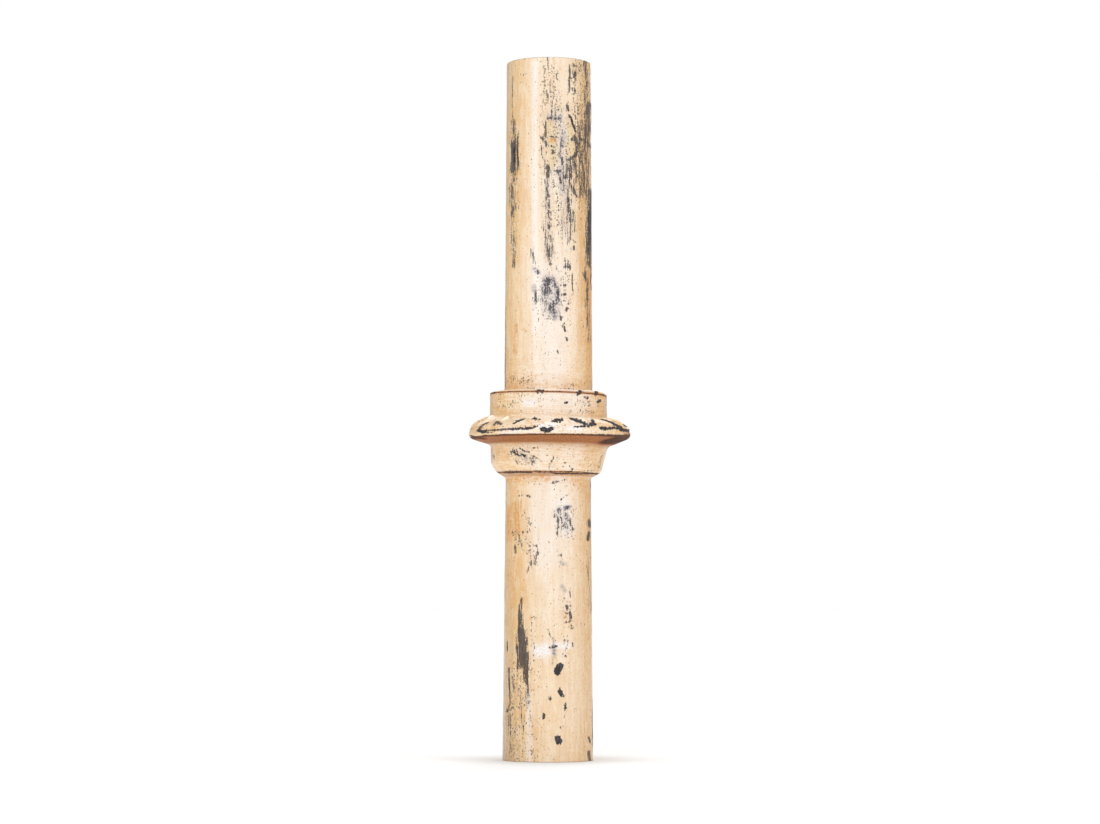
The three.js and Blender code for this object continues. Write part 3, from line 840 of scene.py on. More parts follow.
# What it shows on the shaft below the collar.
LOWER_SHAFT: Marks = {
    Layer.BARE: [
        Mark("dash under the collar", 3.4, ((552.6, 482.6), (557.4, 481.8))),
        Mark("thin dash under the collar", 2.2, ((559.4, 480.4), (566.4, 480))),
        Mark("dot under the collar", 1.8, ((567, 485), (567.4, 485.6))),
        Mark("left dash", 1.8, ((518.4, 496), (522.4, 495.8))),
        Mark("left dash, second", 2.2, ((526, 495.6), (530, 496.6))),
        Mark("scratch over the cluster", 1.5, ((568.4, 495.4), (564, 496.6), (560.6, 500))),
        Mark("cluster, right spot", 2.4, ((572.6, 527), (573.2, 529))),
        Mark("cluster, dot", 2.0, ((573.2, 538.8), (573.8, 539.8))),
        Mark("left spot", 2.2, ((522.4, 531.8), (524, 533))),
        Mark("left spot, second", 2.0, ((518.8, 535), (519.8, 538.6))),
        Mark("right spots, fourth", 2.2, ((571.6, 626.4), (572, 628.4))),
        Mark("tee, bar", 3.4, ((550.8, 647), (553.6, 646.6), (556.6, 646.6))),
        Mark("tee, ends of the bar", 2.2, ((548.8, 647.8), (553.6, 646.6), (559, 646.8))),
        Mark("spots right of the tee", 2.2, ((565.8, 654.8), (566.2, 656.4))),
        Mark("chip, diamond", 9.8, ((560, 666.4), (557.4, 671.2))),
        Mark("chip, diamond, top corner", 3.4, ((560.4, 665), (562, 662.8)), end=0.5),
        Mark("chip, diamond, lower corner", 4.4, ((557.4, 673), (557.4, 676)), end=0.4),
        Mark("chip, teardrop", 6.0, ((559.8, 692), (561.2, 694.6))),
        Mark("chip, teardrop, point", 3.6, ((559.8, 691), (559.6, 688)), end=0.5),
        Mark("chip, teardrop, toe", 3.0, ((562, 695.4), (563.8, 696.6)), end=0.6),
        Mark("chip, narrow", 3.2, ((565.8, 704), (565.2, 709.6))),
        Mark("chip, tiny", 2.2, ((564.4, 715.6), (564, 716.8))),
        Mark("chip, small oval", 4.2, ((543.8, 714.8), (543.4, 717.4))),
        Mark("chip, round", 9.2, ((558.2, 738.6), (558.8, 741))),
        Mark("chip, dot above the round", 1.8, ((560.4, 727.4), (560.8, 728))),
        Mark("lower left spot", 2.4, ((507, 709), (507.2, 711.4))),
    ],
    Layer.RUBBED: [
        Mark("cluster, dark spot", 4.6, ((558.8, 509), (559.6, 509.8)), 0.8),
        Mark("cluster, dark dash", 4.6, ((564.8, 507.8), (570, 507)), 0.9),
        Mark("cluster, hook", 6.0, ((553.4, 515.6), (556.6, 516.8), (558, 520.6)), 0.78),
        Mark("cluster, ring's edge", 2.4, ((564.4, 514.6), (567, 513.6), (568.6, 516)), 0.9),
        Mark("cluster, left line", 5.0, ((558, 522), (557, 534)), 0.66),
        Mark("cluster, middle line", 6.0, ((561.8, 529), (565, 524)), 0.7),
        Mark("cluster, right line", 4.6, ((568.8, 519), (571.4, 524.4), (573.4, 530)), 0.85),
        Mark("cluster, thin line", 2.6, ((571.8, 511.6), (575, 519)), 0.8),
        Mark("right edge, upper blot", 5.6, ((589, 520.4), (589.6, 526)), 1.3),
        Mark("right edge, lower blot", 5.0, ((588.8, 532.4), (588, 540)), 1.2),
        Mark("right edge specks, lower", 6.0, ((587, 552), (590, 612)), 0.55),
        Mark("left lower blot", 5.0, ((514.8, 545.6), (516, 552.6)), 0.95),
        Mark("middle spot", 4.4, ((535.6, 545.4), (537, 547)), 1.2),
        Mark("middle diagonal", 7.0, ((537.4, 552.6), (535, 558), (532.8, 564)), 0.78),
        Mark("middle diagonal, foot", 3.0, ((529, 567), (526.6, 574)), 0.66),
        Mark("small marks, right", 2.6, ((558.4, 553.6), (561.4, 555.2)), 1.2),
        Mark("thin mark", 3.0, ((569, 591), (571, 596)), 0.9),
        Mark("right spots, first", 4.0, ((565.8, 605.6), (567, 609)), 1.4),
        Mark("right spots, ring", 4.0, ((570, 605), (571.4, 607.6)), 0.9),
        Mark("right spots, second", 4.2, ((569.4, 612.4), (571, 617)), 1.3),
        Mark("right spots, third", 3.6, ((565.6, 622.4), (569.4, 621.2)), 1.1),
        Mark("big streak, start", 6.0, ((521.4, 598.6), (521.6, 607)), 0.85),
        Mark("big streak, thread", 2.8, ((519, 606), (519, 628)), 1.2),
        Mark("big streak, upper", 7.0, ((521.6, 612), (522.4, 634)), 0.8, end=1.3),
        Mark("big streak, core", 14.0, ((521.4, 632), (523.4, 648), (524.4, 663)), 1.35),
        Mark("big streak, haze", 18.0, ((521, 632), (522.6, 662)), 0.68),
        Mark("big streak, left threads", 6.0, ((518, 646), (518.6, 668)), 1.05),
        Mark("big streak, lower", 10.0, ((525.8, 664), (526.4, 683)), 1.25, end=0.8),
        Mark("big streak, tail", 6.4, ((527.6, 683), (527.6, 703)), 0.72),
        Mark("far left line", 2.6, ((507.2, 641), (507.4, 651))),
        Mark("thin marks over the daub", 2.8, ((548, 629), (550, 635), (552.6, 639))),
        Mark("spot, far right of the tee", 3.0, ((572, 642), (573, 645)), 0.9),
        Mark("chip, small brown", 4.0, ((549.4, 697.8), (550.6, 699.4)), 1.2),
        Mark("lower left line", 2.8, ((508.8, 668), (509.8, 706)), 1.05),
        Mark("lower left dark speckle", 4.2, ((512.6, 676), (514, 692)), 0.9),
        Mark("lower left line, low", 3.6, ((508.8, 706), (510.6, 750)), 0.8),
        Mark("lower left blot", 3.0, ((510.4, 739), (510.8, 746.6)), 0.8),
        Mark("lower brown thread", 2.4, ((521.6, 690), (520.6, 736)), 0.7),
        Mark("right foot blot", 4.0, ((588.6, 737.6), (590, 741.6)), 1.2),
        Mark("right foot blot, lower", 6.4, ((588.4, 752), (589.4, 760)), 1.05),
    ],
    Layer.SPECKS: [
        Mark("cluster, speckle", 26.0, ((561, 512), (566, 532)), 0.75),
        Mark("left specks", 10.0, ((524, 515), (531, 524)), 0.8),
        Mark("left specks, lower", 12.0, ((516, 534), (521, 546)), 0.95),
        Mark("left threads", 16.0, ((526, 534), (532, 560)), 0.7),
        Mark("small marks, speckle", 10.0, ((557, 550), (564, 568)), 0.5),
        Mark("lower right spots, speckle", 14.0, ((565, 602), (570, 626)), 0.66),
        Mark("right of the streak", 8.0, ((533, 616), (533.6, 700)), 0.5),
        Mark("specks right of the tee", 9.0, ((565, 638), (567, 652)), 0.66),
        Mark("lower left field", 42.0, ((518, 676), (519, 757)), 0.6),
        Mark("lower speckle, left", 18.0, ((512, 704), (515, 757)), 0.75),
        Mark("lower speckle, middle", 12.0, ((530, 716), (534, 757)), 0.6),
    ],
    Layer.UNDERCOAT: [
        Mark("cluster, slate spot", 6.0, ((558.8, 509), (559.6, 509.8)), 1.5),
        Mark("cluster, slate dash", 6.0, ((564.8, 507.8), (570, 507)), 1.5),
        Mark("cluster, ring", 6.4, ((566, 515), (567, 518.6))),
        Mark("cluster, slate", 18.0, ((560, 514), (567, 526)), 0.4),
        Mark("small marks, lower", 4.4, ((561, 562.6), (565, 564))),
        Mark("lilac marks, right", 5.0, ((562, 586.4), (565, 590.4)), 0.9),
        Mark("big streak, veil", 6.0, ((527.6, 684), (527.4, 706)), 0.5),
        Mark("tee, stalk above", 2.4, ((553.6, 639), (553.6, 646)), 1.3),
        Mark("tee, stem", 5.8, ((553.6, 648), (554.2, 655)), 1.5, end=0.8),
        Mark("tee, thread", 2.6, ((552.8, 656), (552.6, 665))),
    ],
    Layer.STAIN: [
        # stain and painted shadow just under the ring, in these two runs
        Mark("orange run under the lip", 9.0, ((508, 479), (548, 477.6))),
        Mark("orange run, right", 15.0, ((577, 482), (590, 494)), 0.85),
        Mark("yellow stain", 14.0, ((517, 506), (516, 530))),
        Mark("orange streak, left edge", 10.0, ((509, 508), (509.4, 538))),
        Mark("orange streak, left lower", 11.0, ((510, 560), (512, 604)), 0.5),
        Mark("orange streaks", 14.0, ((518, 560), (524, 606)), 0.3),
        Mark("right spots, brown ground", 14.0, ((564, 616), (570, 622)), 0.4),
        Mark("left spot by the streak", 3.6, ((530.6, 617), (531.6, 619)), 0.8),
        Mark("lower orange specks", 6.0, ((533, 728), (533, 740)), 0.3),
    ],
    Layer.PALE: [
        # painted sheen down the middle of the front
        Mark("pale ground under the collar", 44.0, ((548, 492), (550, 556)), 0.3),
        Mark("cluster, chalk", 24.0, ((561, 505), (566, 530)), 0.5),
        Mark("pale streak below", 10.0, ((529.4, 696), (529, 760)), 0.5),
        Mark("pale daub", 20.0, ((540, 651), (545, 650.4)), 1.1),
        Mark("pale daub, right", 9.0, ((554, 645.4), (568, 646))),
        Mark("pale daub, lower right", 12.0, ((561, 652), (563, 660)), 0.4),
    ],
}


@dataclass(frozen=True)
class PaintWear:
    """Where the paint is worn, chipped and stained."""

    reach: float = 4.0
    unseen_seed: int = 11
    unseen_patches: int = 110
    unseen_angles: tuple[float, float] = (80.0, 280.0)
    unseen_heights: tuple[float, float] = (15.0, 905.0)
    unseen_leaf_marks: int = 26
    leaf_heights: tuple[float, float] = (432.0, 452.0)
    collar_heights: tuple[float, float] = (345.0, 490.0)

    def marks(self) -> Marks:
        """Give every mark on the column, by layer."""
        parts = (UPPER_SHAFT, COLLAR, LOWER_SHAFT, self.unseen())
        return {layer: [mark for part in parts for mark in part.get(layer, [])] for layer in Layer}

    def unseen(self) -> Marks:
        """Scatter the same kinds of wear over the sides that the photograph doesn't show.

        Places are drawn at random, from 80 degrees on one side round to 80 on the other.
        Each gets a chip, a patch of specks, a stain or an upright streak of a random size,
        and on the collar always a chip. The leaves get short worn lines.

        Returns:
            The marks, placed by degrees and heights.
        """
        rng = np.random.default_rng(self.unseen_seed)
        marks: Marks = {Layer.BARE: [], Layer.SPECKS: [], Layer.STAIN: [], Layer.RUBBED: []}
        for index in range(self.unseen_patches):
            angle = rng.uniform(*self.unseen_angles)
            height = rng.uniform(*self.unseen_heights)
            length = rng.gamma(2.0, 20.0)
            lean = rng.normal(0, 1.5)
            wide = rng.uniform(3.5, 13.0)
            strength = rng.uniform(0.7, 1.2)
            path = ((angle, height), (angle + lean, height + length))
            on_collar = self.collar_heights[0] < height + length and height < self.collar_heights[1]
            kind = 0 if on_collar else index % 5
            if kind == 0:
                path = ((angle, height), (angle + 1.5, height + rng.uniform(1, 6)))
                marks[Layer.BARE].append(Mark("unseen chip", wide * 0.55, path, in_photo=False))
            elif kind == 1:
                marks[Layer.SPECKS].append(Mark("unseen specks", wide * 3, path, 0.7, in_photo=False))
            elif kind == 2:
                marks[Layer.STAIN].append(Mark("unseen stain", wide * 1.6, path, 0.7, in_photo=False))
            else:
                marks[Layer.RUBBED].append(Mark("unseen streak", wide, path, strength, 0.5, in_photo=False))
                marks[Layer.SPECKS].append(Mark("unseen haze", wide * 2, path, 0.75, in_photo=False))
        for _ in range(self.unseen_leaf_marks):
            angle = rng.uniform(*self.unseen_angles)
            length = rng.normal(0, 5)
            strength = rng.uniform(0.7, 1.3)
            low, high = np.sort(rng.uniform(*self.leaf_heights, 2))
            path = ((angle, low), (angle + length, high))
            marks[Layer.RUBBED].append(Mark("unseen leaf edge", 4.6, path, strength, 0.6, in_photo=False))
        return marks

    def paint(self, layer: Layer, marks: list[Mark], grid: "Grid", view: Viewpoint) -> Array:
        """Work out one layer at every point of the grid.

        In the bare layer a mark gives half its width less the distance from its path. In the
        others it gives its strength times a flat-topped bell curve of that distance, which
        has fallen to a third at half the width. The largest of all marks counts.

        Args:
            layer: The layer to work out.
            marks: The marks of that layer.
            grid: The column's grid.
            view: The photograph's camera, which turns pixels into places.

        Returns:
            The layer's value at every point.
        """
        value = np.full(grid.shape, -self.reach if layer is Layer.BARE else 0.0)
        for mark in marks:
            inside, share = self.within(mark, grid, view)
            given = inside if layer is Layer.BARE else mark.strength * np.exp(-(share**3))
            value = np.maximum(value, given)
            LOG.debug("%s mark: %s", layer.value, mark.name)
        return value

    @staticmethod
    def unrolled(azimuth: Array, in_photo: bool) -> Array:
        """Lay angles round the axis out flat.

        The photograph's own half is laid out as the camera sees it, by the sine of the angle.
        It goes on beyond its edges by the squared sine of the angle past them, so that a
        mark there goes on round the back. A mark on the other half uses the plain angle.
        """
        if not in_photo:
            return azimuth
        hidden = np.maximum(np.abs(azimuth) - np.pi / 2, 0.0)
        return np.sin(np.clip(azimuth, -np.pi / 2, np.pi / 2)) + np.sign(azimuth) * np.sin(hidden) ** 2

    def within(self, mark: Mark, grid: "Grid", view: Viewpoint) -> tuple[Array, Array]:
        """Work out how far each point is from a mark's path, against the mark's width there.

        The skin is laid out flat, and the nearest place on each straight piece of the path is
        found. The half width there falls evenly from the path's start to its end.

        Args:
            mark: The mark.
            grid: The column's grid.
            view: The photograph's camera.

        Returns:
            Half the width less the distance, and the distance as a share of half the width.
        """
        if mark.in_photo:
            places = [grid.place(view, *pixel) for pixel in mark.path]
        else:
            places = [(math.radians(angle), grid.run_at(height)) for angle, height in mark.path]
        flat = self.unrolled(grid.azimuth if mark.in_photo else grid.azimuth % (2 * np.pi), mark.in_photo)
        across = [self.unrolled(np.float64(angle), mark.in_photo) for angle, _ in places]
        inside = np.full(grid.shape, -np.inf)
        share = np.full(grid.shape, np.inf)
        pieces = max(1, len(places) - 1)
        for index in range(pieces):
            step_across = grid.radius * (across[index + 1] - across[index])
            step_along = places[index + 1][1] - places[index][1]
            from_start = grid.radius * (flat - across[index])
            up = grid.rows.run[:, None] - places[index][1]
            length = np.maximum(step_across**2 + step_along**2, 1e-6)
            part = np.clip((from_start * step_across + up * step_along) / length, 0.0, 1.0)
            gap = np.hypot(from_start - part * step_across, up - part * step_along)
            half = mark.wide / 2 * (1 + (mark.end - 1) * (index + part) / pieces)
            inside = np.maximum(inside, half - gap)
            share = np.minimum(share, gap / half)
        return inside, share


@dataclass
class Grid:
    """The column's skin as a grid of rows up its outline and columns round its axis."""

    rows: Rows
    columns: int = 240
    front_bias: float = 0.3
    sharp_angle: float = math.radians(35.0)
    azimuth: Array = field(init=False)
    radius: Array = field(init=False)
    heights: Array = field(init=False)

    def __post_init__(self) -> None:
        """Spread the columns, closer together at the front, and blend the mould's halves.

        A column's angle is its share of the turn plus a bias times the sine of that share,
        which draws the columns to the front. The outline there is the left one times half
        of one minus the sine of the angle, plus the right one times the rest.
        """
        turn = np.arange(self.columns) / self.columns * 2 * np.pi
        azimuth = turn + self.front_bias * np.sin(turn) - np.pi
        right_share = ((1 + np.sin(azimuth)) / 2)[None, :, None]
        blend = self.rows.left[:, None, :] * (1 - right_share) + self.rows.right[:, None, :] * right_share
        self.azimuth = np.broadcast_to(azimuth, blend.shape[:2])
        self.radius = blend[..., 0]
        self.heights = blend[..., 1]

    @property
    def shape(self) -> tuple[int, int]:
        """Rows and columns of the grid."""
        return self.radius.shape

    @property
    def outside(self) -> Array:
        """One on the outer skin and nought in the bore and on the sawn ends."""
        return self.rows.outside[:, None]

    def outer(self) -> tuple[Array, Array, Array]:
        """Give the outer skin's mean radius, its height, which never falls, and its run."""
        picked = self.rows.outside > 0
        profile = (self.rows.left[picked] + self.rows.right[picked]) / 2
        return profile[:, 0], np.maximum.accumulate(profile[:, 1]), self.rows.run[picked]

    def run_at(self, height: float) -> float:
        """Give the run at which the outer skin reaches a height."""
        _, heights, run = self.outer()
        return float(np.interp(height, heights, run))

    def place(self, view: Viewpoint, x: float, y: float) -> tuple[float, float]:
        """Find where a pixel of the photograph falls on the column's skin.

        The radius is guessed, the camera's ray is followed to it, and the height that it
        reaches gives a better radius, a few times over.

        Args:
            view: The photograph's camera.
            x: Pixel column.
            y: Pixel row.

        Returns:
            The angle round the axis and the run.
        """
        radii, heights, run = self.outer()
        radius = radii[0]
        for _ in range(5):
            angle, height = view.place(x, y, radius)
            radius = float(np.interp(height, heights, radii))
        return angle, float(np.interp(height, heights, run))

    def points(self) -> Array:
        """Give each point's place: radius times sine and minus cosine of its angle, and its height."""
        x = self.radius * np.sin(self.azimuth)
        y = -self.radius * np.cos(self.azimuth)
        return np.stack([x, y, self.heights], axis=-1)

    def raise_skin(self, amount: Array) -> None:
        """Move the skin outwards, square to the outline, by an amount at each point."""
        along_radius = np.gradient(self.radius, axis=0)
        along_height = np.gradient(self.heights, axis=0)
        length = np.maximum(np.hypot(along_radius, along_height), 1e-9)
        self.radius = self.radius + amount * along_height / length
        self.heights = self.heights - amount * along_radius / length

    def mesh(self, name: str) -> bpy.types.Mesh:
        """Join the grid into a closed mesh: each face takes a row, the next row and two columns.

        Args:
            name: The mesh's name.

        Returns:
            The mesh in metres, with a map that unrolls it.
        """
        rows, columns = self.shape
        row, column = np.meshgrid(np.arange(rows), np.arange(columns), indexing="ij")
        next_row = (row + 1) % rows
        next_column = (column + 1) % columns
        corners = [
            row * columns + column,
            row * columns + next_column,
            next_row * columns + next_column,
            next_row * columns + column,
        ]
        faces = np.stack(corners, axis=-1).reshape(-1, 4)
        mesh = bpy.data.meshes.new(name)
        mesh.vertices.add(rows * columns)
        mesh.vertices.foreach_set("co", (self.points() * METRES).astype(np.float32).ravel())
        mesh.loops.add(faces.size)
        mesh.loops.foreach_set("vertex_index", faces.astype(np.int32).ravel())
        mesh.polygons.add(len(faces))
        mesh.polygons.foreach_set("loop_start", np.arange(0, faces.size, 4, dtype=np.int32))
        mesh.update(calc_edges=True)
        across = np.stack([column, column + 1, column + 1, column], axis=-1) / columns
        along = np.stack([row, row, row + 1, row + 1], axis=-1) / rows
        unrolled = mesh.uv_layers.new(name="unrolled")
        unrolled.uv.foreach_set("vector", np.stack([across, along], axis=-1).astype(np.float32).ravel())
        mesh.shade_smooth()
        mesh.set_sharp_from_angle(angle=self.sharp_angle)
        return mesh


class Value:
    """A number that changes over the surface. Python's operators on it add Math nodes."""

    def __init__(self, sheet: "NodeSheet", socket: bpy.types.NodeSocket) -> None:
        """Hold a node's output socket and the sheet it is on."""
        self.sheet = sheet
        self.socket = socket

    def __add__(self, other: "Value | float") -> "Value":
        """Add."""
        return self.sheet.math("ADD", self, other)

    __radd__ = __add__

    def __sub__(self, other: "Value | float") -> "Value":
        """Take away."""
        return self.sheet.math("SUBTRACT", self, other)

    def __rsub__(self, other: float) -> "Value":
        """Take from a plain number."""
        return self.sheet.math("SUBTRACT", other, self)

    def __mul__(self, other: "Value | float") -> "Value":
        """Multiply."""
        return self.sheet.math("MULTIPLY", self, other)

    __rmul__ = __mul__

    def either(self, other: "Value | float") -> "Value":
        """Take the larger of the two."""
        return self.sheet.math("MAXIMUM", self, other)

    def step(self, low: float, high: float) -> "Value":
        """Rise smoothly from 0 at a low value to 1 at a high one."""
        settings = {"interpolation_type": "SMOOTHSTEP"}
        inputs = {"Value": self, "From Min": low, "From Max": high}
        node = self.sheet.node("ShaderNodeMapRange", settings, inputs)
        return Value(self.sheet, node.outputs["Result"])

    def clamped(self) -> "Value":
        """Keep between 0 and 1."""
        return self.sheet.math("ADD", self, 0.0, clamp=True)


class NodeSheet:
    """The node tree of one material, with short ways to add nodes to it."""

    apart = (17.3, 5.9, 11.1)

    def __init__(self, material: bpy.types.Material) -> None:
        """Empty the material's tree and add the coordinates.

        Args:
            material: The material to build.
        """
        material.use_nodes = True
        self.tree = material.node_tree
        self.tree.nodes.clear()
        self.coordinates = self.node("ShaderNodeTexCoord", {}, {}).outputs["Object"]
        self.count = 0

    def node(self, kind: str, settings: dict[str, object], inputs: dict[str | int, object]) -> bpy.types.Node:
        """Add a node.

        Args:
            kind: Blender's name for the node's type.
            settings: Its own properties, set first.
            inputs: A value or a link for each input socket, by name or place.

        Returns:
            The node.
        """
        node = self.tree.nodes.new(kind)
        for name, setting in settings.items():
            setattr(node, name, setting)
        for key, given in inputs.items():
            source = given.socket if isinstance(given, Value) else given
            if isinstance(source, bpy.types.NodeSocket):
                self.tree.links.new(source, node.inputs[key])
            else:
                node.inputs[key].default_value = source
        return node

    def math(self, operation: str, first: Value | float, second: Value | float, clamp: bool = False) -> Value:
        """Add a Math node of an operation on two values."""
        settings = {"operation": operation, "use_clamp": clamp}
        node = self.node("ShaderNodeMath", settings, {0: first, 1: second})
        return Value(self, node.outputs[0])

    def attribute(self, layer: Layer) -> Value:
        """Read one of the mesh's layers."""
        settings = {"attribute_type": "GEOMETRY", "attribute_name": layer.value}
        node = self.node("ShaderNodeAttribute", settings, {})
        return Value(self, node.outputs["Fac"])

    def noise(self, size: Colour, detail: float, spread: float = 0.17) -> Value:
        """Add noise whose features measure so many millimetres along X, Y and Z.

        The texture's values lie in a bell about one half. A smooth rise across the bell
        spreads them evenly from 0 to 1, so a share of them is above one less that share.

        Args:
            size: Size of the features along each axis.
            detail: Number of finer layers.
            spread: Half the width of the bell.

        Returns:
            The noise, from 0 to 1.
        """
        inputs = {"Vector": self.scaled(size), "Scale": 1.0, "Detail": detail, "Roughness": 0.55}
        node = self.node("ShaderNodeTexNoise", {}, inputs)
        return Value(self, node.outputs[0]).step(0.5 - spread, 0.5 + spread)

    def dots(self, size: Colour) -> Value:
        """Add dots strewn at random, about so many millimetres apart along X, Y and Z.

        The texture splits space into cells, each with a chance colour of its own. The value
        is that colour's brightness plus the nearness of the cell's middle, so that a rising
        limit leaves fewer and smaller dots.
        """
        node = self.node("ShaderNodeTexVoronoi", {}, {"Vector": self.scaled(size), "Scale": 1.0})
        nearness = 1 - Value(self, node.outputs["Distance"])
        return Value(self, node.outputs["Color"]) * 0.6 + nearness * 0.5

    def scaled(self, size: Colour) -> bpy.types.NodeSocket:
        """Give coordinates in which so many millimetres measure one, shifted for each texture."""
        self.count += 1
        scale = tuple(1 / (METRES * length) for length in size)
        shift = tuple(self.count * offset for offset in self.apart)
        mapping = self.node(
            "ShaderNodeMapping",
            {"vector_type": "POINT"},
            {"Vector": self.coordinates, "Location": shift, "Scale": scale},
        )
        return mapping.outputs["Vector"]

    def blend(self, factor: Value, first: object, second: object) -> bpy.types.NodeSocket:
        """Mix two colours, plain or linked, by a factor."""
        settings = {"data_type": "RGBA", "blend_type": "MIX", "clamp_factor": True}
        inputs = {0: factor, 6: self.colour(first), 7: self.colour(second)}
        return self.node("ShaderNodeMix", settings, inputs).outputs[2]

    @staticmethod
    def colour(given: object) -> object:
        """Give a plain colour its fourth part, and leave a link as it is."""
        return (*given, 1.0) if isinstance(given, tuple) else given


@dataclass(frozen=True)
class Weather:
    """The patterns that weather and brush have left all over the paint, each from 0 to 1."""

    streaks: Value
    hairs: Value
    strands: Value
    threads: Value
    brushing: Value
    clouds: Value
    grains: Value
    flakes: Value
    dots: Value
    patches: Value

    @classmethod
    def on(cls, sheet: NodeSheet) -> "Weather":
        """Add the patterns to a material's sheet.

        They are long and short uprights, level brush lines, drifts, grain, flakes, dots and
        patches of older coats.
        """
        return cls(
            streaks=sheet.noise((4.6, 4.6, 60.0), detail=4.0, spread=0.16),
            hairs=sheet.noise((1.8, 1.8, 17.0), detail=2.0),
            strands=sheet.noise((2.6, 2.6, 24.0), detail=2.0),
            threads=sheet.noise((1.5, 1.5, 9.0), detail=1.0, spread=0.2),
            brushing=sheet.noise((20.0, 20.0, 1.3), detail=3.0),
            clouds=sheet.noise((20.0, 20.0, 60.0), detail=4.0, spread=0.16),
            grains=sheet.noise((1.5, 1.5, 1.9), detail=1.0, spread=0.2),
            flakes=sheet.noise((3.0, 3.0, 4.0), detail=2.0),
            dots=sheet.dots((1.9, 1.9, 2.5)),
            patches=sheet.noise((8.0, 8.0, 17.0), detail=4.0),
        )


